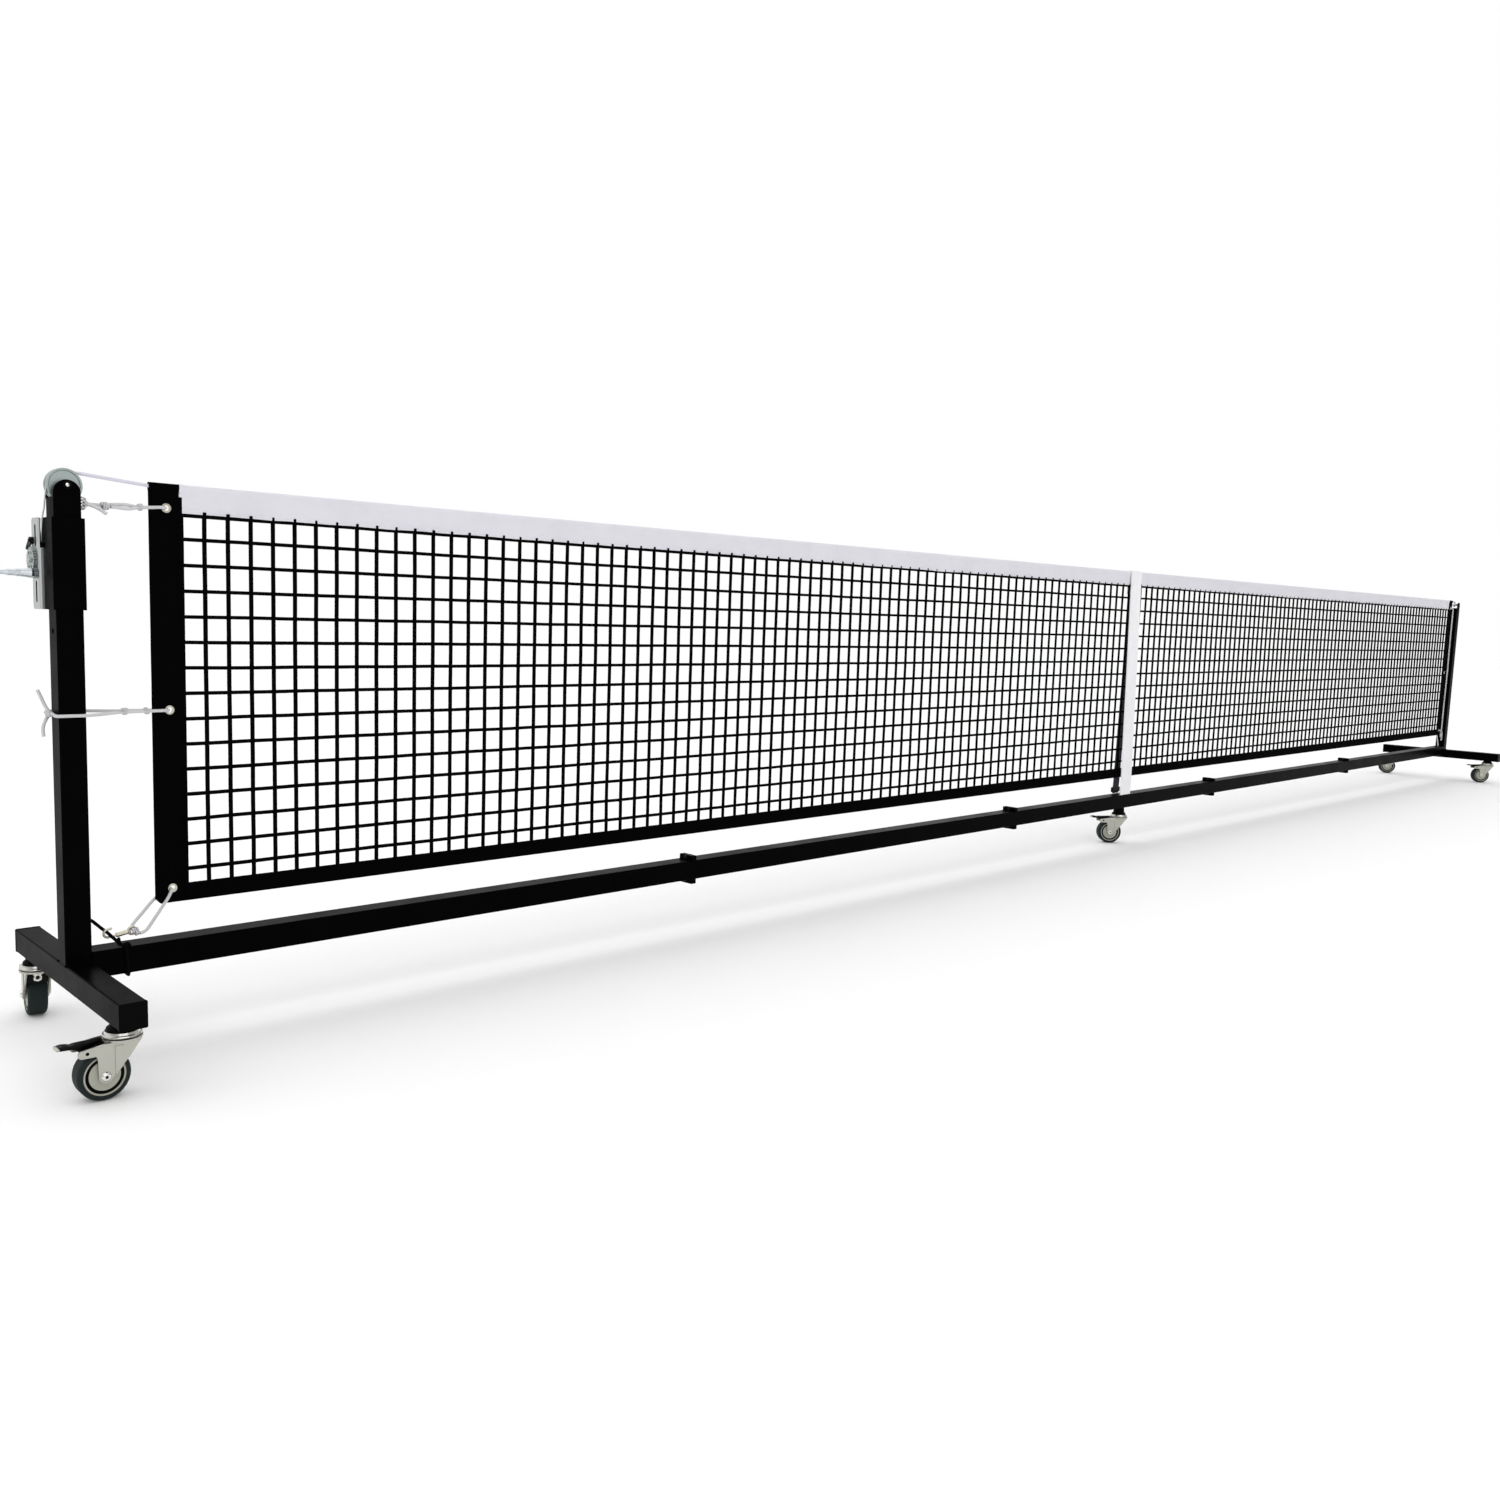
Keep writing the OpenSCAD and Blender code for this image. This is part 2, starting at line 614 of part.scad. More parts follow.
// Coarse flat mesh, held by the headband, the side bands and the bottom band
module net_mesh() {
    x0 = net_x0 + side_w;
    w = net_len - 2 * side_w;
    z0 = hem_top;
    h = head_z - hem_top;
    step_x = (w + thread_w) / mesh_columns;
    step_z = (h + thread_w) / mesh_rows;
    color([0.03, 0.03, 0.03]) translate([x0, 0, z0]) extrude_y(thread_t) difference() {
        square([w, h]);
        for (i = [0 : mesh_columns - 1], j = [0 : mesh_rows - 1])
            translate([i * step_x + (i == 0 ? 0.5 : 0), j * step_z + (j == 0 ? 0.5 : 0)])
                square([step_x - thread_w - (i == 0 ? 0.5 : 0) - (i == mesh_columns - 1 ? 0.5 : 0),
                        step_z - thread_w - (j == 0 ? 0.5 : 0) - (j == mesh_rows - 1 ? 0.5 : 0)]);
    }
}

// Profile of a band folded over the top cable; it narrows over depth and ends at bottom
module rolled_edge(depth, bottom) {
    r = head_t / 2;
    fold = [for (a = [180 : -15 : 0]) [r * cos(a), net_top - r + r * sin(a)]];
    difference() {
        polygon(concat([[-band_t / 2, bottom], [-band_t / 2, net_top - depth]], fold,
                       [[band_t / 2, net_top - depth], [band_t / 2, bottom]]));
        translate([0, cable_z]) circle(cable_r + seat);
    }
}

// White tape folded over the top cable, closed below
module headband() {
    color([0.9, 0.9, 0.93]) extrude_x(net_x0 + side_w, net_len - 2 * side_w)
        rolled_edge(head_h - 8, head_z);
}

// Black side bands and bottom band
module net_border() {
    color([0.02, 0.02, 0.02]) {
        roll = 16;
        cut = 8;
        eyelet_r = grommet_r + grommet_wall + 0.02;
        for (side = [0, 1])
            translate([side == 0 ? net_x0 : net_x1, 0, 0]) mirror([side, 0, 0]) {
                extrude_x(0, side_w) rolled_edge(roll, net_top - roll - 1);
                extrude_y(band_t) difference() {
                    polygon([[cut, net_bottom], [side_w, net_bottom], [side_w, net_top - roll],
                             [0, net_top - roll], [0, net_bottom + cut]]);
                    for (z = [grommet_top_z, grommet_mid_z, grommet_low_z])
                        translate([grommet_inset, z]) circle(eyelet_r);
                }
            }
        translate([net_x0 + side_w, -band_t / 2, net_bottom]) cube([net_len - 2 * side_w, band_t, hem_h]);
    }
}

// Eyelets set in the side bands
module grommets() {
    lip = band_t / 2 + 1;
    r0 = grommet_r;
    r1 = grommet_r + grommet_wall;
    r2 = grommet_r + grommet_flange;
    color([0.75, 0.74, 0.68])
    for (x = [net_x0 + grommet_inset, net_x1 - grommet_inset],
         z = [grommet_top_z, grommet_mid_z, grommet_low_z])
        translate([x, 0, z]) rotate([90, 0, 0]) rotate_extrude()
            polygon([[r0, -lip], [r2 - 1, -lip], [r2, -band_t / 2], [r1, -band_t / 2], [r1, band_t / 2],
                     [r2, band_t / 2], [r2 - 1, lip], [r0, lip]]);
}

// White strap over the headband and down the front to the crossbar
module centre_strap() {
    y0 = head_t / 2 + seat;
    y1 = y0 + strap_t;
    z1 = net_top + seat;
    f = strap_foot_y;
    color([0.92, 0.92, 0.95]) extrude_x(-strap_w / 2, strap_w)
        polygon([[-y0, z1], [-f + strap_t, strap_end_z], [-f, strap_end_z], [-y1, z1],
                 [-y1 + 1, z1 + strap_t], [y1 - 1, z1 + strap_t], [y1, z1],
                 [y1 + 1, strap_fold_z], [y0 + 1, strap_fold_z], [y0, z1]]);
}

// Black webbing from the back of the white strap down to the buckle
module strap_tail() {
    y0 = head_t / 2 + seat + 1;
    f = strap_foot_y;
    color([0.12, 0.12, 0.14]) extrude_x(-tail_w / 2, tail_w)
        polygon([[y0, strap_fold_z], [y0 + strap_t, strap_fold_z], [f, buckle_z + 11], [f, strap_end_z],
                 [f - strap_t, strap_end_z], [f - strap_t, buckle_z + 11]]);
}

// Ladder buckle round the webbing
module strap_buckle() {
    inner_d = strap_t + 2 * seat;
    outer_d = inner_d + 5;
    y = strap_foot_y - strap_t / 2;
    color([0.05, 0.05, 0.05]) translate([0, y, buckle_z - 8]) linear_extrude(16) difference() {
        square([buckle_w, outer_d], center = true);
        square([tail_w + 2 * seat, inner_d], center = true);
    }
}

// Cable from the winch drum, over the pulley, through the headband, round the right post's bolt
module net_cable() {
    tangent_y = drum_y - (turn_r + 2 * wire_r + 0.5);
    wire = [[left_x + wire_start_x, tangent_y, drum_z + 4],
            [left_x + wire_x, tangent_y * 0.55, sleeve_z + sleeve_h - 6],
            [left_x + wire_x + 0.6, tangent_y * 0.28, sleeve_z + sleeve_h + 14]];
    arc = [for (a = [176 : -arc_step : 66])
        [left_x + wire_path_r * cos(a), 0, pulley_z + wire_path_r * sin(a)]];
    coat = [[left_x + 17, 0, pulley_z + groove_path_r - 5],
            [left_x + 26, 0, pulley_z + groove_path_r - 7],
            [net_x0 - 14, 0, cable_z + 0.8],
            [net_x0 - 2, 0, cable_z],
            [net_x1 - 4, 0, cable_z]];
    right = half_pitch;
    loop_r = spool_r + cable_r + seat;
    loop = [[net_x1 + 12, 0, cable_z + 0.5],
            for (a = [100 : -24 : -120]) [right + loop_r * cos(a), 0, pulley_z + loop_r * sin(a)],
            [right - tube_w / 2 + 6, 0, pulley_z - loop_r + 1],
            [right - tube_w / 2 - 4, 0, pulley_z - loop_r + 6]];
    path = concat(wire, arc, coat, loop);
    radii = [for (i = [0 : len(path) - 1]) i < len(wire) + len(arc) ? wire_r : cable_r];
    color([0.85, 0.85, 0.86]) sweep(path, radii, 8);
}

module lacing_top() { color([0.85, 0.84, 0.8]) cord(TOP_LACE, lace_r, -half_pitch); }
module lacing_middle() { color([0.85, 0.84, 0.8]) cord(MIDDLE_LACE, lace_r, -half_pitch, 1); }
module lacing_bottom() { color([0.85, 0.84, 0.8]) cord(LOW_LACE, lace_r, -half_pitch); }
module side_lace() { color([0.85, 0.84, 0.8]) cord(SIDE_LACE, lace_r, half_pitch); }
module bungee() { color([0.03, 0.03, 0.03]) cord(BUNGEE, bungee_r, -half_pitch); }

// Eye riveted in the wall of the left post
module post_eye() {
    ring_r = 6;
    wire = 1.8;
    color([0.6, 0.6, 0.57]) translate([-half_pitch + tube_w / 2, 0, eye_z]) {
        rod_x(-tube_wall - 1.5, tube_wall + 3.5, eye_shank_r);
        rod_x(0, 1.5, 4.5);
        rod_x(-tube_wall - 1.5, 1.5, 3.6);
        translate([2 + ring_r, 0, 0]) rotate([90, 0, 0]) rotate_extrude() translate([ring_r, 0]) circle(wire);
    }
}

// Snap hook that joins the lower lacing to the bungee
module snap_hook() {
    wire = 2;
    ring_r = 6;
    hook_r = 6.5;
    barrel_len = 18;
    place_x = -half_pitch + hook_x + spread(hook_x);
    color([0.75, 0.74, 0.68]) translate([place_x, hook_y, hook_z]) rotate([0, hook_angle, 0]) {
        translate([ring_r + barrel_len / 2 + 1, 0, 0]) rotate([90, 0, 0])
            rotate_extrude() translate([ring_r, 0]) circle(wire);
        rod_x(-barrel_len / 2, barrel_len, 4);
        rod_x(-barrel_len / 2 - 12, 14, wire);
        translate([-barrel_len / 2 - 12, 0, hook_r]) rotate([90, 0, 0]) rotate([0, 0, 90])
            rotate_extrude(angle = 180) translate([hook_r, 0]) circle(wire);
        translate([-barrel_len / 2 - 12, 0, 2 * hook_r]) rod_x(0, 6, wire);
        translate([-barrel_len / 2 - 6, 0, 2 * hook_r]) sphere(wire);
    }
}

// ---- pulley and winch ----

// Bolts through the ears of both posts, with the spool that anchors the cable on the right
module post_bolts() {
    grip = tube_w / 2;
    color([0.75, 0.75, 0.73])
    for (x = [-half_pitch, half_pitch])
        translate([x, 0, pulley_z]) {
            rod_y(2 * grip, pulley_axle_r);
            for (s = [-1, 1])
                translate([0, s * grip, 0]) rotate([-s * 90, 0, 0]) rotate_extrude()
                    polygon([[0, 0], [6, 0], [5.4, 1.4], [3.6, 2.6], [0, 3]]);
            if (x > 0) rod_y(tube_w - 2 * tube_wall - 2 * seat, spool_r);
        }
}

// Grooved pulley with a bored hub between the ears
module pulley() {
    hub = tube_w / 2 - tube_wall - seat;
    half = pulley_w / 2;
    bore = pulley_axle_r + running;
    color([0.7, 0.73, 0.72]) translate([-half_pitch, 0, pulley_z]) rotate([90, 0, 0]) rotate_extrude()
        polygon([[bore, -hub], [8, -hub], [9, -half + 1], [pulley_r - 4, -half + 1],
                 [pulley_r - 3, -half], [pulley_r, -half], [pulley_r, -half + 2],
                 [groove_r, -2], [groove_r, 2], [pulley_r, half - 2],
                 [pulley_r, half], [pulley_r - 3, half], [pulley_r - 4, half - 1], [9, half - 1],
                 [8, hub], [bore, hub]]);
}

module at_winch(y, z) {
    translate([-half_pitch, y, z]) children();
}

module winch_sleeve() {
    color([0.02, 0.02, 0.02]) translate([-half_pitch, 0, sleeve_z]) difference() {
        linear_extrude(sleeve_h) difference() {
            round_square(sleeve_w, sleeve_w, 3);
            round_square(tube_w + 2 * seat, tube_w + 2 * seat, tube_corner);
        }
        for (z = winch_bolt_z)
            translate([winch_bolt_x, sleeve_w / 2, z - sleeve_z]) rod_y(20, winch_bolt_r + bolt_slack);
    }
}

// Folded sheet bracket: a web on the back of the sleeve and two cheeks with slots
module winch_bracket() {
    bend = 4;
    cheek_z1 = sleeve_z + sleeve_h;
    slot_y = cheek_y1 - 22;
    color([0.7, 0.71, 0.7]) difference() {
        intersection() {
            translate([-half_pitch + bracket_x0, bracket_y, sleeve_z]) linear_extrude(sleeve_h) difference() {
                union() {
                    translate([0, bend]) square([bracket_w, cheek_d + 12 - bend]);
                    translate([bend, 0]) square([bracket_w - 2 * bend, bend * 2]);
                    for (x = [bend, bracket_w - bend]) translate([x, bend]) circle(bend);
                }
                translate([bracket_t, bracket_t]) square([bracket_w - 2 * bracket_t, cheek_d + 20]);
            }
            extrude_x(-half_pitch + bracket_x0 - 5, bracket_w + 10) {
                translate([bracket_y - 1, sleeve_z]) square([cheek_d - 6, sleeve_h]);
                translate([bracket_y - 1, sleeve_z + 6]) square([cheek_d + 1, sleeve_h - 12]);
                for (z = [sleeve_z + 6, cheek_z1 - 6]) translate([cheek_y1 - 6, z]) circle(6);
                translate([drum_y, drum_z]) circle(13);
            }
        }
        translate([-half_pitch - 50, drum_y, drum_z]) rod_x(0, 100, drum_shaft_r + running);
        translate([-half_pitch - 50, pinion_y, pinion_z]) rod_x(0, 100, pinion_shaft_r + running);
        // long slots in the cheeks
        for (z = [sleeve_z + 10, cheek_z1 - 10 - slot_len])
            extrude_x(-half_pitch - 60, 120) {
                translate([slot_y, z + slot_w / 2]) square([slot_w, slot_len - slot_w]);
                for (e = [slot_w / 2, slot_len - slot_w / 2])
                    translate([slot_y + slot_w / 2, z + e]) circle(slot_w / 2);
            }
        // notch in the web for the wire that comes down past the sleeve
        translate([-half_pitch + bracket_x0 + bracket_t, bracket_y - 1, cheek_z1 - 46])
            cube([7, bracket_t + 3, 60]);
        for (z = winch_bolt_z)
            translate([-half_pitch + winch_bolt_x, bracket_y, z]) rod_y(20, winch_bolt_r + bolt_slack);
        at_winch(pawl_y, pawl_z) rod_x(bracket_x0 - 5, 12, pawl_pin_r + running);
    }
}

// Bolts that hold the bracket and the sleeve to the post
module winch_bolts() {
    y1 = bracket_y + bracket_t;
    color([0.7, 0.7, 0.68])
    for (z = winch_bolt_z)
        translate([-half_pitch + winch_bolt_x, 0, z]) rotate([-90, 0, 0]) {
            translate([0, 0, tube_w / 2 - 12]) cylinder(h = y1 - tube_w / 2 + 12, r = winch_bolt_r);
            translate([0, 0, y1]) cylinder(h = 5, r = 7, $fn = 6);
            translate([0, 0, tube_w / 2 - tube_wall - 6]) cylinder(h = 6, r = 7, $fn = 6);
        }
}

// Drum with two flanges on its shaft
module winch_drum() {
    x0 = bracket_x0 + bracket_t + seat;
    x1 = bracket_x0 + bracket_w - bracket_t - seat;
    shaft_x0 = bracket_x0 - gear_w - 3;
    color([0.66, 0.67, 0.66]) at_winch(drum_y, drum_z) {
        rod_x(shaft_x0, x1 + bracket_t + 5 - shaft_x0, drum_shaft_r);
        rod_x(x0, x1 - x0, drum_r);
        rod_x(x0, drum_flange_t, drum_flange_r);
        rod_x(x1 - drum_flange_t, drum_flange_t, drum_flange_r);
    }
}

// Half thickness angle of an involute tooth at radius r
function inv(a) = tan(a) * 180 / PI - a;
function tooth_half(r, pitch_r, teeth) =
    let (base_r = pitch_r * cos(pressure_angle))
    90 / teeth - backlash / 4 / pitch_r * 180 / PI + inv(pressure_angle) - inv(acos(min(1, base_r / r)));
module gear_outline(teeth) {
    pitch_r = tooth_module * teeth / 2;
    base_r = pitch_r * cos(pressure_angle);
    root_r = pitch_r - dedendum;
    tip_r = pitch_r + addendum;
    flank = [for (k = [0 : 5]) max(base_r, root_r) + (tip_r - max(base_r, root_r)) * k / 5];
    root_half = tooth_half(flank[0], pitch_r, teeth);
    polygon([for (i = [0 : teeth - 1])
        let (c = 360 * i / teeth)
        each concat(
            [root_r * [cos(c - root_half), sin(c - root_half)]],
            [for (r = flank) let (h = tooth_half(r, pitch_r, teeth)) r * [cos(c - h), sin(c - h)]],
            [for (k = [5 : -1 : 0])
                let (r = flank[k], h = tooth_half(r, pitch_r, teeth)) r * [cos(c + h), sin(c + h)]],
            [root_r * [cos(c + root_half), sin(c + root_half)]])]);
}

// Gear keyed to the drum's shaft, with six lightening holes
module drum_gear() {
    x0 = bracket_x0 - seat - gear_w;
    mesh_dir = 180 + mesh_angle;
    color([0.62, 0.68, 0.68]) at_winch(drum_y, drum_z) extrude_x(x0, gear_w) difference() {
        rotate(mesh_dir) gear_outline(gear_teeth);
        circle(drum_shaft_r + running);
        for (i = [0 : 5]) rotate(60 * i) translate([12, 0]) circle(2.5);
    }
}

// Wound turns of the wire on the drum, one unbroken tube
module cable_turns() {
    echo(least_gap_between_turns = turn_gap);
    color([0.75, 0.75, 0.76]) at_winch(drum_y, drum_z) sweep(TURNS, [for (p = TURNS) wire_r], 6);
}

// Pinion cut on a shaft that runs through both cheeks
module pinion_shaft() {
    x0 = bracket_x0 - seat - gear_w;
    x1 = bracket_x0 + bracket_w + 4;
    mesh_dir = mesh_angle + 180 / pinion_teeth;
    color([0.7, 0.7, 0.68]) at_winch(pinion_y, pinion_z) {
        rod_x(x0 - 16, x1 - x0 + 16, pinion_shaft_r);
        rod_x(x1 - 3, 3, pinion_shaft_r + 2.5);
        extrude_x(x0, gear_w) rotate(mesh_dir) gear_outline(pinion_teeth);
    }
}

// Crank: tapered socket on the pinion's shaft, rod, bend, arm and grip spindle
module crank_handle() {
    x0 = bracket_x0 - seat - gear_w - 1;
    socket_end = x0 - socket_len;
    bend_x = socket_end - rod_reach;
    color([0.72, 0.75, 0.77]) at_winch(pinion_y, pinion_z) {
        difference() {
            rotate([0, -90, 0]) translate([0, 0, -x0]) rotate_extrude()
                polygon([[0, 0], [7.5, 0], [8, 3], [6, 18], [6, 24], [5, 26], [5, 36],
                         [rod_r, socket_len], [0, socket_len]]);
            rod_x(x0 - 15.5, 20, pinion_shaft_r + running);
        }
        rod_x(bend_x, rod_reach, rod_r);
        translate([bend_x, 0, -rod_bend]) rotate([90, 0, 0]) rotate([0, 0, 90])
            rotate_extrude(angle = 90) translate([rod_bend, 0]) circle(rod_r);
        translate([bend_x - rod_bend, 0, -crank_len + rod_bend])
            cylinder(h = crank_len - 2 * rod_bend, r = rod_r);
        translate([bend_x - 2 * rod_bend, 0, -crank_len + rod_bend]) rotate([90, 0, 0]) rotate([0, 0, -90])
            rotate_extrude(angle = 90) translate([rod_bend, 0]) circle(rod_r);
        translate([0, 0, -crank_len]) rod_x(bend_x - 2 * rod_bend - grip_len + 1, grip_len - 1, rod_r);
        translate([0, 0, -crank_len]) rod_x(bend_x - 2 * rod_bend - grip_len - 1, 2.3, rod_r + 2);
    }
}

// Turned grip that spins on the crank's spindle
module crank_grip() {
    x1 = bracket_x0 - seat - gear_w - 1 - socket_len - rod_reach - 2 * rod_bend - 1;
    bore = rod_r + running;
    w = grip_len;
    color([0.04, 0.04, 0.04]) at_winch(pinion_y, pinion_z) translate([x1, 0, -crank_len]) rotate([0, -90, 0])
        rotate_extrude() polygon([[bore, 0], [grip_r - 4, 0], [grip_r - 2, 2], [grip_r - 1, 12],
            [grip_r - 2, 22], [grip_r, w / 2], [grip_r, w - 16], [grip_r - 2, w - 7],
            [grip_r - 6, w - 3], [bore, w - 3]]);
}

// Ratchet pawl on its own pin, above the gear
module ratchet_pawl() {
    x0 = bracket_x0 - seat - gear_w;
    color([0.08, 0.08, 0.08]) at_winch(pawl_y, pawl_z) {
        extrude_x(x0, gear_w) difference() {
            union() {
                circle(5.5);
                polygon([[-5.4, 1], [5.4, 1], [14, -4.5], [21, -11.5], [18, -14], [10, -8], [2, -5.2]]);
            }
            circle(1);
        }
        rod_x(x0 - 1.5, gear_w + bracket_t + 4, pawl_pin_r);
    }
}

left_post();
right_post();
left_foot();
right_foot();
foot_end_caps();
crossbar_left_end();
crossbar_left_inner();
crossbar_centre();
crossbar_right_inner();
crossbar_right_end();
flange_bolts();
caster_stems();
caster_spacers();
winch_sleeve();
winch_bracket();
winch_bolts();
post_bolts();
net_mesh();
headband();
net_border();
grommets();
centre_strap();
strap_tail();
strap_buckle();
net_cable();
lacing_top();
lacing_middle();
lacing_bottom();
side_lace();
post_eye();
snap_hook();
bungee();
pulley();
winch_drum();
drum_gear();
cable_turns();
pinion_shaft();
crank_handle();
crank_grip();
ratchet_pawl();
caster_part(0, "yoke");  // caster_1_yoke
caster_part(0, "hub");  // caster_1_hub
caster_part(0, "tyre");  // caster_1_tyre
caster_part(0, "pedal");  // caster_1_pedal
caster_part(1, "yoke");  // caster_2_yoke
caster_part(1, "hub");  // caster_2_hub
caster_part(1, "tyre");  // caster_2_tyre
caster_part(1, "pedal");  // caster_2_pedal
caster_part(2, "yoke");  // caster_3_yoke
caster_part(2, "hub");  // caster_3_hub
caster_part(2, "tyre");  // caster_3_tyre
caster_part(2, "pedal");  // caster_3_pedal
caster_part(3, "yoke");  // caster_4_yoke
caster_part(3, "hub");  // caster_4_hub
caster_part(3, "tyre");  // caster_4_tyre
caster_part(3, "pedal");  // caster_4_pedal
caster_part(4, "yoke");  // caster_5_yoke
caster_part(4, "hub");  // caster_5_hub
caster_part(4, "tyre");  // caster_5_tyre
caster_part(4, "pedal");  // caster_5_pedal
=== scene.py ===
"""Portable pickleball net on casters: finishes, tapes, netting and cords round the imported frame."""

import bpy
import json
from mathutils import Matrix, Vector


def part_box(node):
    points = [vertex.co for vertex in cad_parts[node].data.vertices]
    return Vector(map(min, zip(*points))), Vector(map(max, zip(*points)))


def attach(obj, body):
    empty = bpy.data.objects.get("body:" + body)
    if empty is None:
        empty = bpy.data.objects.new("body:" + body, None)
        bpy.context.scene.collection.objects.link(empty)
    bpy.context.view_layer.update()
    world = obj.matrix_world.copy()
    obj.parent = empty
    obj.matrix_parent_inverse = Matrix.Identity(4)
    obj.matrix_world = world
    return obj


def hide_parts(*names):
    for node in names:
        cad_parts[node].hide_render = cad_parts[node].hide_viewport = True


bl_info = {
    "name": "Portable Court Net",
    "version": (1, 0, 0),
    "blender": (4, 5, 0),
    "location": "View3D > Sidebar > Court Net",
    "description": "Builds a wheeled court net with its winch, tapes, netting and cords",
    "category": "Add Mesh",
}

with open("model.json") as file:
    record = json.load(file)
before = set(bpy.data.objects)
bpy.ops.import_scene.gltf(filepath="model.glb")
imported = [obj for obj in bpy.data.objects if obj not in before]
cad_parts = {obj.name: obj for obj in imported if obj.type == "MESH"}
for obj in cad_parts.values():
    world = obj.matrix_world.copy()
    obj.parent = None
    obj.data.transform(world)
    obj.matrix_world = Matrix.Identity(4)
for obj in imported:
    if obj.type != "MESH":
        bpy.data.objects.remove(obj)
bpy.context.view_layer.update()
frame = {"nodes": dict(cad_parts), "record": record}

import json
import math

import bmesh
import bpy
from bpy.props import FloatProperty, FloatVectorProperty, PointerProperty
from bpy.types import Operator, Panel, PropertyGroup
from mathutils import Matrix, Vector, noise

MM = 0.001

# ---------------------------------------------------------------- places, from the frame


def low(node, axis):
    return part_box(node)[0][axis]


def high(node, axis):
    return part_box(node)[1][axis]


def half(node, axis):
    return (high(node, axis) - low(node, axis)) / 2


def middle(node):
    a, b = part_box(node)
    return Vector([(a[i] + b[i]) / 2 for i in range(3)])


X, Y, Z = 0, 1, 2
LEFT_POST_X = middle("left_post").x
RIGHT_POST_X = middle("right_post").x
TUBE_HALF = half("left_post", X)
FOOT_TOP_Z = low("left_post", Z)
NET_LEFT = low("net_border", X)
NET_RIGHT = high("net_border", X)
NET_TOP = high("headband", Z)
NET_BOTTOM = low("net_border", Z)
HEAD_BOTTOM = low("headband", Z)
HEM_TOP = low("net_mesh", Z)
BAND_LEFT_INNER = low("headband", X)
BAND_RIGHT_INNER = high("headband", X)
STRAP_HALF = half("centre_strap", X)
STRAP_PLAY = 0.3 * MM
BAR_TOP_Z = low("centre_strap", Z) - STRAP_PLAY
AXLE_Z = high("caster_1_tyre", Z) / 2
PULLEY_Z = middle("pulley").z
CASTER_COUNT = 5


# ---------------------------------------------------------------- settings


def colour(name, description, value):
    return FloatVectorProperty(
        name=name, description=description, default=value, subtype="COLOR", min=0, max=1, size=3
    )


def dimension(name, description, value, least, most):
    return FloatProperty(
        name=name, description=description, default=value, min=least, max=most, unit="LENGTH"
    )


class NetColours(PropertyGroup):
    paint: colour("Paint", "Powder coat of the tubes", (0.0009, 0.0009, 0.0010))
    tape_white: colour("White tape", "Headband and strap", (0.86, 0.85, 0.905))
    tape_black: colour("Black tape", "Side and bottom bands", (0.0014, 0.0014, 0.0014))
    twine: colour("Twine", "Netting", (0.0009, 0.0009, 0.0009))
    zinc: colour("Zinc", "Bracket, drum and fasteners", (0.56, 0.57, 0.56))
    gear: colour("Gear steel", "Pulley and gears", (0.37, 0.42, 0.41))
    nickel: colour("Nickel", "Yokes of the casters", (0.46, 0.46, 0.41))
    hub: colour("Hub", "Wheel centres", (0.37, 0.37, 0.31))
    rubber: colour("Rubber", "Tyres", (0.008, 0.014, 0.0135))
    plastic: colour("Black plastic", "Caps, pedals and buckle", (0.0016, 0.0016, 0.0018))
    cord: colour("Cord", "Lacing cords", (0.74, 0.73, 0.76))
    cable: colour("Cable", "Coated top cable", (0.66, 0.65, 0.74))
    brass: colour("Eyelets", "Eyelets and snap hook", (0.58, 0.55, 0.45))
    floor: colour("Floor", "Pale floor", (0.965, 0.965, 0.965))


class NetSizes(PropertyGroup):
    column_pitch: dimension("Column pitch", "Spacing of the upright threads", 0.0396, 0.02, 0.08)
    row_pitch: dimension("Row pitch", "Spacing of the level threads", 0.0421, 0.02, 0.08)
    upright_radius: dimension("Upright radius", "Radius of an upright thread", 0.0037, 0.0005, 0.004)
    level_radius: dimension("Level radius", "Radius of a level thread", 0.0035, 0.0005, 0.004)
    knot_radius: dimension("Knot radius", "Radius of a knot of the netting", 0.0045, 0.0005, 0.008)
    slack: dimension("Slack", "How far the threads stray", 0.0009, 0, 0.01)
    lace_radius: dimension("Lace radius", "Radius of the lacing cords", 0.0027, 0.001, 0.004)
    bungee_radius: dimension("Bungee radius", "Radius of the elastic cord", 0.0027, 0.001, 0.004)
    cable_radius: dimension("Cable radius", "Radius of the coated top cable", 0.0029, 0.001, 0.004)
    wire_radius: dimension("Wire radius", "Radius of the bare wire", 0.0012, 0.0005, 0.003)
    stitch_pitch: dimension("Stitch pitch", "Spacing of the stitches", 0.0048, 0.002, 0.01)
    stitch_length: dimension("Stitch length", "Length of one stitch", 0.0034, 0.001, 0.008)


def sizes():
    return bpy.context.scene.court_net_sizes


# ---------------------------------------------------------------- shader groups


def feed(tree, socket, value):
    """Gives a socket a value, or the output of another node."""
    if isinstance(value, bpy.types.NodeSocket):
        tree.links.new(value, socket)
    else:
        socket.default_value = value


def add_node(tree, kind, **inputs):
    """A shader node of a kind, with its inputs fed."""
    node = tree.nodes.new("ShaderNode" + kind)
    for label, value in inputs.items():
        feed(tree, node.inputs[label.replace("_", " ")], value)
    return node


def math_node(tree, operation, *values):
    node = add_node(tree, "Math")
    node.operation = operation
    for socket, value in zip(node.inputs, values):
        feed(tree, socket, value)
    return node.outputs[0]


def product(tree, first, *others):
    for other in others:
        first = math_node(tree, "MULTIPLY", first, other)
    return first


def noise_node(tree, vector, scale, detail, roughness=0.55):
    node = add_node(
        tree, "TexNoise", Vector=vector, Scale=scale, Detail=detail, Roughness=roughness
    )
    return node.outputs["Fac"]


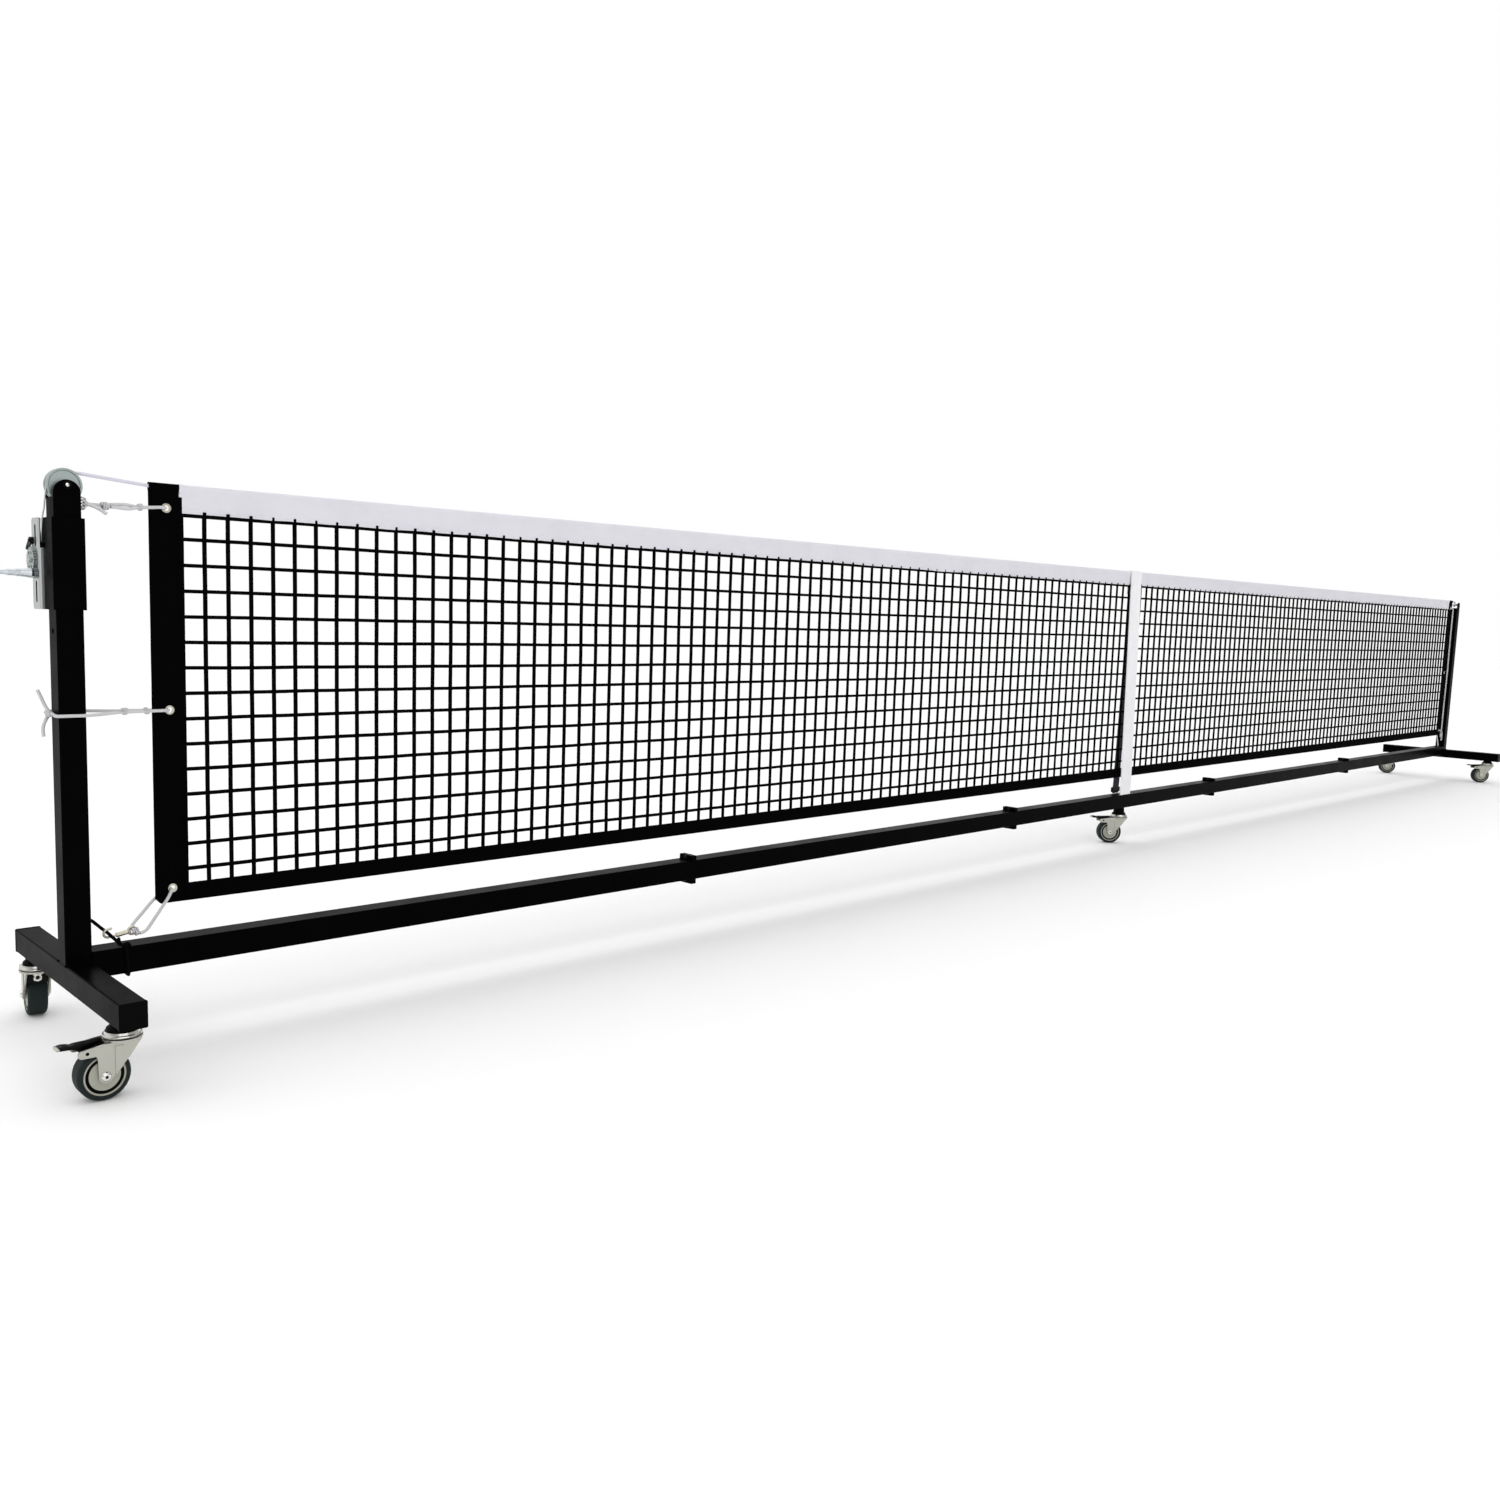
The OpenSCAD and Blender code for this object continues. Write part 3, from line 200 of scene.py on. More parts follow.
def ramp_node(tree, factor, low_edge, high_edge):
    """A smooth step of factor between two edges."""
    node = add_node(tree, "MapRange", Value=factor, From_Min=low_edge, From_Max=high_edge)
    node.interpolation_type = "SMOOTHSTEP"
    return node.outputs["Result"]


def stretch(tree, vector, scale):
    return add_node(tree, "Mapping", Vector=vector, Scale=scale).outputs["Vector"]


def separate(tree, vector):
    """The outputs X, Y and Z of a vector."""
    return add_node(tree, "SeparateXYZ", Vector=vector).outputs


def new_group(name, numbers, outputs):
    """A shader node group that takes a vector and numbers, and gives numbers."""
    tree = bpy.data.node_groups.new(name, "ShaderNodeTree")
    tree.interface.new_socket("Vector", in_out="INPUT", socket_type="NodeSocketVector")
    for label in numbers:
        tree.interface.new_socket(label, in_out="INPUT", socket_type="NodeSocketFloat")
    for label in outputs:
        tree.interface.new_socket(label, in_out="OUTPUT", socket_type="NodeSocketFloat")
    inside = tree.nodes.new("NodeGroupInput")
    outside = tree.nodes.new("NodeGroupOutput")
    return tree, inside.outputs, outside.inputs


def make_grain_group():
    """Fine grain and slow patches, for paint, plastic and rubber."""
    tree, inside, outside = new_group("grain", ["Scale"], ["Height", "Patches"])
    fine = noise_node(tree, inside["Vector"], inside["Scale"], 2.0, 0.5)
    patches = noise_node(tree, inside["Vector"], 9.0, 5.0, 0.6)
    feed(tree, outside["Height"], fine)
    feed(tree, outside["Patches"], ramp_node(tree, patches, 0.35, 0.7))
    return tree


def make_scuff_group():
    """Thin scratches and specks of dust."""
    tree, inside, outside = new_group("scuffs", [], ["Scratches", "Dust"])
    drawn = stretch(tree, inside["Vector"], (40.0, 40.0, 700.0))
    thin = ramp_node(tree, noise_node(tree, drawn, 1.0, 4.0, 0.7), 0.66, 0.74)
    some = ramp_node(tree, noise_node(tree, inside["Vector"], 23.0, 2.0), 0.5, 0.66)
    dust = noise_node(tree, inside["Vector"], 260.0, 6.0, 0.75)
    feed(tree, outside["Scratches"], product(tree, thin, some))
    feed(tree, outside["Dust"], ramp_node(tree, dust, 0.58, 0.8))
    return tree


def make_weave_group():
    """Plain weave of tape: crossing threads of one width, read from X and Z."""
    tree, inside, outside = new_group("weave", ["Threads per metre"], ["Height", "Fibres"])
    place = separate(tree, inside["Vector"])
    turns = product(tree, inside["Threads per metre"], math.pi)
    threads, waves = [], []
    for label in ("X", "Z"):
        angle = product(tree, place[label], turns)
        threads.append(math_node(tree, "ABSOLUTE", math_node(tree, "SINE", angle)))
        waves.append(math_node(tree, "SINE", product(tree, angle, 0.5)))
    over = ramp_node(tree, product(tree, *waves), -0.2, 0.2)
    under = math_node(tree, "SUBTRACT", 1.0, over)
    warp, weft = product(tree, threads[0], over), product(tree, threads[1], under)
    feed(tree, outside["Height"], math_node(tree, "ADD", warp, weft))
    feed(tree, outside["Fibres"], noise_node(tree, inside["Vector"], 420.0, 4.0, 0.7))
    return tree


def make_braid_group():
    """Strands of a braided cord, read from the tube's own map: u along it in metres, v round it."""
    tree, inside, outside = new_group("braid", ["Lay per metre", "Strands"], ["Height"])
    place = separate(tree, inside["Vector"])
    along = product(tree, place["X"], inside["Lay per metre"])
    around = product(tree, place["Y"], inside["Strands"])
    strands = []
    for hand in ("ADD", "SUBTRACT"):
        turns = math_node(tree, hand, along, around)
        strands.append(math_node(tree, "SINE", product(tree, turns, math.tau)))
    feed(tree, outside["Height"], math_node(tree, "MAXIMUM", *strands))
    return tree


GROUP_MAKERS = {
    "grain": make_grain_group,
    "scuffs": make_scuff_group,
    "weave": make_weave_group,
    "braid": make_braid_group,
}


def group_node(tree, name, vector, **numbers):
    """The outputs of one use of a shared effect, which is made on its first use."""
    group = bpy.data.node_groups.get(name) or GROUP_MAKERS[name]()
    node = tree.nodes.new("ShaderNodeGroup")
    node.node_tree = group
    feed(tree, node.inputs["Vector"], vector)
    for label, number in numbers.items():
        node.inputs[label.replace("_", " ").capitalize()].default_value = number
    return node.outputs


# ---------------------------------------------------------------- materials


def mix_into(tree, socket, other, factor):
    """Mixes what a colour socket has towards another colour, where factor is high."""
    mix = tree.nodes.new("ShaderNodeMix")
    mix.data_type = "RGBA"
    if socket.is_linked:
        tree.links.new(socket.links[0].from_socket, mix.inputs["A"])
    else:
        mix.inputs["A"].default_value = socket.default_value
    mix.inputs["B"].default_value = (*other, 1.0)
    tree.links.new(factor, mix.inputs["Factor"])
    tree.links.new(mix.outputs["Result"], socket)


class Finish:
    """A material under construction. Its base is a colour, or the name of one in the settings."""

    def __init__(self, name, base, roughness, metallic=0.0, coordinates="Object", **sockets):
        if isinstance(base, str):
            base = tuple(getattr(bpy.context.scene.court_net_colours, base))
        self.material = bpy.data.materials.new(name)
        self.material.use_nodes = True
        self.material.diffuse_color = (*base, 1.0)
        self.tree = self.material.node_tree
        self.shader = self.tree.nodes["Principled BSDF"].inputs
        self.shader["Base Color"].default_value = (*base, 1.0)
        self.shader["Roughness"].default_value = roughness
        self.shader["Metallic"].default_value = metallic
        for label, value in sockets.items():
            self.shader[label.replace("_", " ")].default_value = value
        self.vector = add_node(self.tree, "TexCoord").outputs[coordinates]
        self.base = base
        self.roughness = roughness

    def effect(self, name, **numbers):
        """The outputs of a shared effect, on the material's own coordinates."""
        return group_node(self.tree, name, self.vector, **numbers)

    def tint(self, factor, other, amount):
        """Mixes the base colour towards other where factor is high."""
        mix_into(self.tree, self.shader["Base Color"], other, product(self.tree, factor, amount))

    def fade(self, factor, share, amount):
        """Mixes the base colour towards a darker or lighter share of itself."""
        self.tint(factor, tuple(min(1.0, c * share) for c in self.base), amount)

    def vary_roughness(self, factor, amount):
        """Adds amount times factor to the roughness."""
        added = product(self.tree, factor, amount)
        feed(
            self.tree, self.shader["Roughness"],
            math_node(self.tree, "ADD", added, self.roughness),
        )

    def bump(self, height, distance, strength):
        """Raises the surface by height, on top of any bumps that it has."""
        node = add_node(self.tree, "Bump", Height=height, Distance=distance, Strength=strength)
        normal = self.shader["Normal"]
        if normal.is_linked:
            self.tree.links.new(normal.links[0].from_socket, node.inputs["Normal"])
        self.tree.links.new(node.outputs["Normal"], normal)


def painted_steel():
    """Black powder coat: faint orange peel, a few scratches and dust."""
    f = Finish("powder coat", "paint", 0.25, Specular_IOR_Level=0.010)
    grain, scuffs = f.effect("grain", scale=620.0), f.effect("scuffs")
    f.fade(grain["Patches"], 1.6, 0.6)
    f.tint(scuffs["Scratches"], (0.03, 0.03, 0.031), 0.3)
    f.tint(scuffs["Dust"], (0.06, 0.06, 0.058), 0.02)
    f.vary_roughness(grain["Patches"], 0.10)
    f.bump(grain["Height"], 0.00008, 0.5)
    return f.material


def plated(name, base, roughness, patch_tint, brushing=(1.0, 1.0, 1.0)):
    """Plated steel with cloudy patches and fine drawing marks."""
    f = Finish(name, base, roughness, metallic=1.0)
    grain = group_node(f.tree, "grain", stretch(f.tree, f.vector, brushing), scale=900.0)
    f.tint(grain["Patches"], patch_tint, 0.5)
    f.fade(f.effect("scuffs")["Scratches"], 0.45, 0.6)
    f.vary_roughness(grain["Patches"], 0.14)
    f.bump(grain["Height"], 0.00004, 0.5)
    return f.material


# The bracket's slots, which get painted shade: how far their line is from its edge in Y, and where
# each mask runs from nothing to full: across a slot, from the bracket's ends, and from the faces of its
# sheet
SLOT_IN = 18.5 * MM
SLOT_SIDE = (4.6 * MM, 4.0 * MM)
SLOT_END = (5 * MM, 8 * MM)
SHEET_FACE = (0.1 * MM, 0.3 * MM)
DRAWN_ZINC = ((0.44, 0.47, 0.49), (1.0, 1.0, 0.12))


def bracket_zinc():
    """The bracket's zinc, with painted shade on the cut faces of its four slots and the inside behind
    them.
    """
    material = plated("bracket zinc", "zinc", 0.34, *DRAWN_ZINC)
    tree = material.node_tree
    place = separate(tree, add_node(tree, "TexCoord").outputs["Object"])
    centre = middle("winch_bracket")
    half_x, half_z = half("winch_bracket", X), half("winch_bracket", Z)

    def mask(label, middle_at, edges):
        off = math_node(tree, "SUBTRACT", place[label], middle_at)
        return ramp_node(tree, math_node(tree, "ABSOLUTE", off), *edges)

    # painted shade: near black where the three masks meet, on the slots' cut faces and the inside behind
    # them
    dark = product(
        tree,
        mask("X", centre.x, [half_x - inset for inset in SHEET_FACE]),
        mask("Y", high("winch_bracket", Y) - SLOT_IN, SLOT_SIDE),
        mask("Z", centre.z, [half_z - inset for inset in SLOT_END]),
    )
    mix_into(tree, tree.nodes["Principled BSDF"].inputs["Base Color"], (0.002, 0.002, 0.002), dark)
    return material


def moulded(name, base, roughness, scale=700.0, depth=0.00008, gloss=0.3):
    """Moulded plastic or rubber with a fine spark texture and dust."""
    f = Finish(name, base, roughness, Specular_IOR_Level=gloss)
    grain = f.effect("grain", scale=scale)
    f.fade(grain["Patches"], 1.5, 0.5)
    f.tint(f.effect("scuffs")["Dust"], (0.22, 0.215, 0.20), 0.03)
    f.vary_roughness(grain["Patches"], 0.12)
    f.bump(grain["Height"], depth, 0.7)
    return f.material


def woven(name, base, threads, shade, sheen=0.12, gloss=0.3):
    """Woven tape with crossing threads and loose fibres."""
    f = Finish(
        name, base, 0.82, Sheen_Weight=sheen, Sheen_Roughness=0.45, Specular_IOR_Level=gloss
    )
    weave = f.effect("weave", threads_per_metre=threads)
    gaps = math_node(f.tree, "SUBTRACT", 1.0, weave["Height"])
    # painted shade in the gaps between the threads
    f.tint(gaps, shade, 0.45)
    f.fade(weave["Fibres"], 0.86, 0.35)
    f.fade(f.effect("grain", scale=300.0)["Patches"], 0.84, 0.45)
    f.bump(weave["Height"], 0.00025, 0.8)
    f.bump(weave["Fibres"], 0.0001, 0.5)
    return f.material


def braided(name, base, shade, lay, gloss=0.3):
    """Braided or laid cord, on the tube's own map."""
    f = Finish(name, base, 0.7, coordinates="UV", Specular_IOR_Level=gloss)
    braid = f.effect("braid", lay_per_metre=lay, strands=6.0)
    # painted shade in the grooves between the strands
    f.tint(ramp_node(f.tree, braid["Height"], 0.6, -0.4), shade, 0.7)
    f.bump(braid["Height"], 0.0003, 0.9)
    return f.material


def coated_cable():
    f = Finish("coated cable", "cable", 0.38, Coat_Weight=0.2)
    grain = f.effect("grain", scale=500.0)
    f.fade(grain["Patches"], 0.85, 0.5)
    f.vary_roughness(grain["Patches"], 0.12)
    f.bump(grain["Height"], 0.00006, 0.5)
    return f.material


def twine_finish():
    f = Finish("netting twine", "twine", 0.78, Specular_IOR_Level=0.02)
    grain = f.effect("grain", scale=1500.0)
    f.fade(grain["Height"], 3.0, 0.4)
    f.bump(grain["Height"], 0.0003, 0.8)
    return f.material


def floor_finish():
    f = Finish("studio floor", "floor", 0.9, Specular_IOR_Level=0.15)
    f.fade(noise_node(f.tree, f.vector, 1.3, 3.0), 0.985, 0.6)
    return f.material


# the last colour given to woven and braided is the painted shade of their gaps and grooves
MATERIAL_MAKERS = {
    "frame_black": painted_steel,
    "cap_black": lambda: moulded("moulded cap", "plastic", 0.42, gloss=0.03),
    "fastener_steel": lambda: plated("bright zinc", (0.80, 0.80, 0.77), 0.16, (0.60, 0.60, 0.55)),
    "bolt_black": lambda: moulded("black oxide", (0.003, 0.003, 0.003), 0.38, gloss=0.1),
    "winch_zinc": lambda: plated("satin zinc", "zinc", 0.36, *DRAWN_ZINC),
    "bracket_zinc": bracket_zinc,
    "gear_steel": lambda: plated("grey-green zinc", "gear", 0.32, (0.36, 0.42, 0.43)),
    "wire_steel": lambda: plated("drawn wire", (0.62, 0.62, 0.64), 0.30, (0.42, 0.42, 0.43)),
    "cable_white": coated_cable,
    "tape_white": lambda: woven("white tape", "tape_white", 1300.0, (0.62, 0.61, 0.70)),
    "band_black": lambda: woven(
        "black tape", "tape_black", 1300.0, (0.0005, 0.0005, 0.0005), sheen=0.0, gloss=0.015
    ),
    "net_black": twine_finish,
    "strap_white": lambda: woven("white webbing", (0.985, 0.98, 1.0), 700.0, (0.92, 0.91, 0.96)),
    "strap_dark": lambda: woven(
        "dark webbing", (0.085, 0.087, 0.105), 700.0, (0.03, 0.03, 0.036), sheen=0.05, gloss=0.1
    ),
    "buckle_black": lambda: moulded("buckle plastic", "plastic", 0.34, gloss=0.10),
    "eyelet": lambda: plated("pale brass", "brass", 0.26, (0.50, 0.50, 0.45)),
    "cord_white": lambda: braided("white cord", "cord", (0.36, 0.35, 0.31), 260.0),
    "cord_black": lambda: braided(
        "black elastic", (0.0022, 0.0022, 0.0022), (0.0008, 0.0008, 0.0008), 300.0, gloss=0.03
    ),
    "yoke_nickel": lambda: plated("satin nickel", "nickel", 0.27, (0.50, 0.49, 0.44)),
    "race_zinc": lambda: plated("race zinc", (0.66, 0.65, 0.61), 0.20, (0.50, 0.49, 0.45)),
    "hub_plastic": lambda: moulded("hub plastic", "hub", 0.45),
    "tyre_rubber": lambda: moulded("tyre rubber", "rubber", 0.62, 420.0, 0.00016, 0.2),
    "pedal_black": lambda: moulded("pedal plastic", "plastic", 0.30, gloss=0.10),
    "crank_chrome": lambda: plated("plated crank", (0.60, 0.64, 0.66), 0.18, (0.46, 0.52, 0.56)),
    "grip_black": lambda: moulded("grip rubber", (0.010, 0.010, 0.010), 0.58, 420.0, 0.00018),
}
made_materials = {}


def finish_for(slot):
    if slot not in made_materials:
        made_materials[slot] = MATERIAL_MAKERS[slot]()
    return made_materials[slot]


def dress(node, own=None):
    """Gives a CAD node the finish of its own slot in the record, or one of its own."""
    slot = own or next(s["material_slot"] for s in frame["record"]["subparts"] if s["node"] == node)
    piece = frame["nodes"][node]
    for material_slot in piece.material_slots:
        material_slot.material = finish_for(slot)
    if not piece.material_slots:
        piece.data.materials.append(finish_for(slot))


# ---------------------------------------------------------------- mesh tools


def new_object(name, data):
    """An object of the scene, at the origin."""
    thing = bpy.data.objects.new(name, data)
    bpy.context.scene.collection.objects.link(thing)
    return thing


def add_piece(name, mesh, slot, body="frame", replaced=(), sharp_angle=35.0):
    """Puts a finished mesh in the scene: smooth but for its sharp edges, and riding on its body."""
    for polygon in mesh.polygons:
        polygon.use_smooth = True
    mesh.set_sharp_from_angle(angle=math.radians(sharp_angle))
    mesh.materials.clear()
    mesh.materials.append(finish_for(slot))
    piece = new_object(name, mesh)
    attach(piece, body)
    if replaced:
        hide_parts(*replaced)
    return piece


def piece_from(name, bm, slot, **facts):
    """Closes a bmesh and adds it as a piece."""
    bm.normal_update()
    mesh = bpy.data.meshes.new(name)
    bm.to_mesh(mesh)
    bm.free()
    return add_piece(name, mesh, slot, **facts)


def of_kind(kind, made):
    """The verts, edges or faces among what a bmesh operator made."""
    return [g for g in made["geom"] if isinstance(g, kind)]


def chain(bm, points, closed=False):
    """Joins points by edges, and returns the verts and the edges."""
    verts = [bm.verts.new(p) for p in points]
    ahead = verts[1:] + verts[:1] if closed else verts[1:]
    return verts, [bm.edges.new(pair) for pair in zip(verts, ahead)]


def moved(bm, matrix):
    bmesh.ops.transform(bm, matrix=matrix, verts=bm.verts)
    return bm


def face_out(bm):
    bmesh.ops.recalc_face_normals(bm, faces=bm.faces)
    return bm


def rounded(bm, radius):
    """Rounds every edge."""
    bmesh.ops.bevel(
        bm, geom=bm.edges[:], offset=radius, segments=2, profile=0.5, affect="EDGES",
        material=-1, clamp_overlap=True,
    )
    return bm


def repeat(bm, count, step):
    """Repeats everything in the mesh count more times, a step apart."""
    if count > 0:
        everything = bm.verts[:] + bm.edges[:] + bm.faces[:]
        bmesh.ops.spin(
            bm, geom=everything, cent=(0, 0, 0), axis=(0, 0, 1), dvec=step, angle=0.0,
            steps=count, use_duplicate=True,
        )


def merge_in(bm, other):
    """Adds another bmesh to this one and frees it."""
    mesh = bpy.data.meshes.new("part")
    other.to_mesh(mesh)
    other.free()
    bm.from_mesh(mesh)
    bpy.data.meshes.remove(mesh)


def drawn_strip(profile, start, end, steps):
    """A profile in Y and Z, drawn along X as an open sheet."""
    bm = bmesh.new()
    _, edges = chain(bm, [(start, y, z) for y, z in profile])
    for _ in range(steps):
        made = bmesh.ops.extrude_edge_only(bm, edges=edges)
        verts = of_kind(bmesh.types.BMVert, made)
        bmesh.ops.translate(bm, vec=((end - start) / steps, 0, 0), verts=verts)
        edges = of_kind(bmesh.types.BMEdge, made)
    return bm


def thicken(bm, thickness):
    """Gives an open sheet its wall, half to each side."""
    face_out(bm)
    bm.normal_update()
    for vert in bm.verts:
        vert.co -= vert.normal * thickness / 2
    bmesh.ops.solidify(bm, geom=bm.faces[:], thickness=-thickness)
    face_out(bm)


def lathe(profile, place, axis, segments):
    """A closed profile of (millimetres along the axis, radius), turned about it at a place."""
    bm = bmesh.new()
    verts, edges = chain(bm, [(radius * MM, 0, along * MM) for along, radius in profile], True)
    bmesh.ops.spin(
        bm, geom=verts + edges, cent=(0, 0, 0), axis=(0, 0, 1), angle=math.tau,
        steps=segments, use_merge=True,
    )
    bmesh.ops.remove_doubles(bm, verts=bm.verts, dist=1e-6)
    turn = Vector((0, 0, 1)).rotation_difference(Vector(axis)).to_matrix().to_4x4()
    return moved(face_out(bm), Matrix.Translation(place) @ turn)


def both_faces(profile, place, out, segments):
    """The same turned profile on both faces of a tube or wheel, out from its middle along Y."""
    bm = bmesh.new()
    for face in (-1, 1):
        spot = Vector(place) + Vector((0, face * out, 0))
        merge_in(bm, lathe(profile, spot, (0, face, 0), segments))
    return bm


def block(size, place, bevel):
    """A box with rounded edges, in millimetres but for its place."""
    bm = bmesh.new()
    bmesh.ops.create_cube(bm, size=1, matrix=Matrix.Diagonal((*[s * MM for s in size], 1)))
    return moved(rounded(bm, bevel * MM), Matrix.Translation(place))


def smooth_path(points, spacing):
    """A curve through points, as points about spacing apart."""
    points = [Vector(p) for p in points]
    ends = [points[0] * 2 - points[1]] + points + [points[-1] * 2 - points[-2]]
    path = []
    for a, b, c, d in zip(ends, ends[1:], ends[2:], ends[3:]):
        count = max(1, round((c - b).length / spacing))
        for k in range(count):
            t = k / count
            bend = (2 * a - 5 * b + 4 * c - d) * t * t + (3 * b - 3 * c + d - a) * t**3
            path.append(0.5 * (2 * b + (c - a) * t + bend))
    path.append(points[-1])
    return path


def path_length(path):
    return sum((b - a).length for a, b in zip(path, path[1:]))


def tube_mesh(name, path, radius, rounds=3):
    """A round tube along a path, with its map in metres along it."""
    route = bpy.data.curves.new(name, "CURVE")
    route.dimensions = "3D"
    route.bevel_depth = radius
    route.bevel_resolution = rounds
    route.use_fill_caps = True
    spline = route.splines.new("POLY")
    spline.points.add(len(path) - 1)
    for point, place in zip(spline.points, path):
        point.co = (*place, 1.0)
    holder = new_object(name, route)
    mesh = bpy.data.meshes.new_from_object(
        holder.evaluated_get(bpy.context.evaluated_depsgraph_get())
    )
    bpy.data.objects.remove(holder)
    bpy.data.curves.remove(route)
    bm = bmesh.new()
    bm.from_mesh(mesh)
    bmesh.ops.remove_doubles(bm, verts=bm.verts, dist=radius * 0.02)
    face_out(bm)
    bm.to_mesh(mesh)
    bm.free()
    mesh.name = name
    if mesh.uv_layers:
        length = path_length(path)
        for loop in mesh.uv_layers[0].data:
            loop.uv.x *= length
    return mesh


def tube_bmesh(path, radius):
    """The same tube with fewer sides, as a bmesh, for a part of a larger piece."""
    mesh = tube_mesh("part", path, radius, 2)
    bm = bmesh.new()
    bm.from_mesh(mesh)
    bpy.data.meshes.remove(mesh)
    return bm


def cord_piece(name, path, radius, slot, **facts):
    return add_piece(name, tube_mesh(name, path, radius), slot, sharp_angle=60.0, **facts)


# ---------------------------------------------------------------- stage

CAMERA_PLACE = (-3.9285, -2.0582, 0.7248)
CAMERA_YAW = 0.7375
CAMERA_PITCH = 0.1104
CAMERA_ROLL = 0.0282
FOCAL_PX = 1237.3
CENTRE_PX = (672.2, 753.2)
IMAGE_PX = 1500
SENSOR_MM = 36.0
FLOOR_HALF = 40
# brightness of the room: all round, added behind the net, and added overhead
ROOM_LIGHT, BACK_LIGHT, OVERHEAD_LIGHT = 0.42, 0.44, 0.66
# each lamp: name, place, what it points at, size and power
LAMPS = [
    ("top light", (-1.5, 0.5, 5.0), (-1.5, 0.3, 0), (9.0, 5.0), 10),
    ("left light", (-7.0, 1.0, 2.6), (-3.2, 0, 0.4), (2.0, 2.0), 8),
    ("front light", (-4.6, -7.0, 3.0), (-3.2, 0, 0.4), (8.0, 3.0), 105),
]


def camera_matrix():
    """Camera axes from the direction that it looks in, turned about its own line of sight."""
    ahead = Vector(
        (
            math.sin(CAMERA_YAW) * math.cos(CAMERA_PITCH),
            math.cos(CAMERA_YAW) * math.cos(CAMERA_PITCH),
            -math.sin(CAMERA_PITCH),
        )
    )
    right = Vector((math.cos(CAMERA_YAW), -math.sin(CAMERA_YAW), 0))
    up = right.cross(ahead)
    c, s = math.cos(CAMERA_ROLL), math.sin(CAMERA_ROLL)
    matrix = Matrix((right * c + up * s, up * c - right * s, -ahead)).transposed().to_4x4()
    matrix.translation = Vector(CAMERA_PLACE)
    return matrix


def add_light(name, place, target, size, watts):
    data = bpy.data.lights.new(name, "AREA")
    data.shape = "RECTANGLE"
    data.size, data.size_y = size
    data.energy = watts
    light = new_object(name, data)
    light.location = place
    light.rotation_euler = (Vector(target) - Vector(place)).to_track_quat("-Z", "Y").to_euler()


class COURTNET_OT_stage(Operator):
    """Camera, pale floor, soft light and backdrop"""

    bl_idname = "court_net.stage"
    bl_label = "Stage"

    def execute(self, context):
        data = bpy.data.cameras.new("camera")
        data.sensor_width = SENSOR_MM
        data.lens = FOCAL_PX / IMAGE_PX * SENSOR_MM
        data.shift_x = (IMAGE_PX / 2 - CENTRE_PX[0]) / IMAGE_PX
        data.shift_y = (CENTRE_PX[1] - IMAGE_PX / 2) / IMAGE_PX
        data.clip_end = 200
        camera = new_object("camera", data)
        camera.matrix_world = camera_matrix()
        context.scene.camera = camera

        bm = bmesh.new()
        bmesh.ops.create_grid(bm, x_segments=24, y_segments=24, size=FLOOR_HALF)
        mesh = bpy.data.meshes.new("floor")
        bm.to_mesh(mesh)
        bm.free()
        mesh.materials.append(floor_finish())
        new_object("floor", mesh)

        world = bpy.data.worlds.new("studio")
        context.scene.world = world
        world.use_nodes = True
        tree = world.node_tree
        place = separate(tree, add_node(tree, "TexCoord").outputs["Generated"])
        back = product(tree, ramp_node(tree, place["Y"], -0.3, 0.5), BACK_LIGHT)
        top = product(tree, ramp_node(tree, place["Z"], 0.30, 0.80), OVERHEAD_LIGHT)
        lit = math_node(tree, "ADD", math_node(tree, "ADD", back, top), ROOM_LIGHT)
        # the camera itself sees a plain white room
        seen = add_node(tree, "LightPath").outputs["Is Camera Ray"]
        unseen = product(tree, math_node(tree, "SUBTRACT", 1.0, seen), lit)
        background = tree.nodes["Background"].inputs
        background["Color"].default_value = (1, 1, 1, 1)
        feed(tree, background["Strength"], math_node(tree, "ADD", seen, unseen))
        context.scene.view_settings.view_transform = "Standard"

        for lamp in LAMPS:
            add_light(*lamp)
        return {"FINISHED"}


# ---------------------------------------------------------------- cords

# Routes in millimetres, with X from the middle of the post that the cord is tied at
TOP_LACE = [
    (60, -10, 858), (51, -9, 864), (42, -7, 868.5), (34, -5, 871), (29, 0, 872), (33, 5, 872.5),
    (42, 4, 872), (54, 2.6, 872), (70, 2.2, 874), (92, 2.0, 875.6), (110, 2.2, 873.4),
    (130, 3, 874), (143, 7, 875), (150, 6.3, 875), (152.4, 3, 875), (152.6, 0, 875),
    (152.4, -3, 875), (150, -6.3, 875), (143, -7, 875), (130, -3, 874), (112, -2.2, 872.6),
    (96, -2.2, 869.2), (78, -2.2, 869.8), (68, -3.6, 870),
]
MIDDLE_LACE = [
    (-41, 14, 584), (-37, 12, 574), (-33, 9, 562), (-29, 2, 552), (-24, -8, 546),
    (-23.5, -14, 545), (-22, -20.5, 545), (-18, -22.1, 545), (-2, -22.1, 545), (20, -22.1, 545),
    (48, -12, 545.5), (72, -2.4, 546.5), (95, -2.2, 547), (125, -2.8, 547.5), (143, -7, 548),
    (150, -6.3, 548), (152.4, -3, 548), (152.6, 0, 548), (152.4, 3, 548), (150, 6.3, 548),
    (143, 7, 548), (125, 2.8, 548.5), (95, 2.2, 549), (72, 2.4, 549), (48, 12, 549),
    (20, 22.1, 549), (-2, 22.1, 549), (-18, 22.1, 549), (-22, 20.5, 549), (-24, 15, 547),
    (-31, 9, 538), (-36, 7, 526), (-36, 5, 512),
]
LOW_LACE = [
    (81, -9, 186), (84, -2, 188), (92, 5, 197), (108, 7, 213), (122, 7.5, 228),
    (133, 7.5, 238), (144, 7, 245), (151, 6.3, 247.6), (153, 3, 248.3), (153.2, 0, 248.4),
    (153, -3, 248.3), (151, -6.3, 247), (145, -7.5, 236), (137, -8, 225), (128, -9, 213),
    (119, -10, 201.5), (110, -11, 190), (104, -12, 186), (97, -12.5, 184),
]
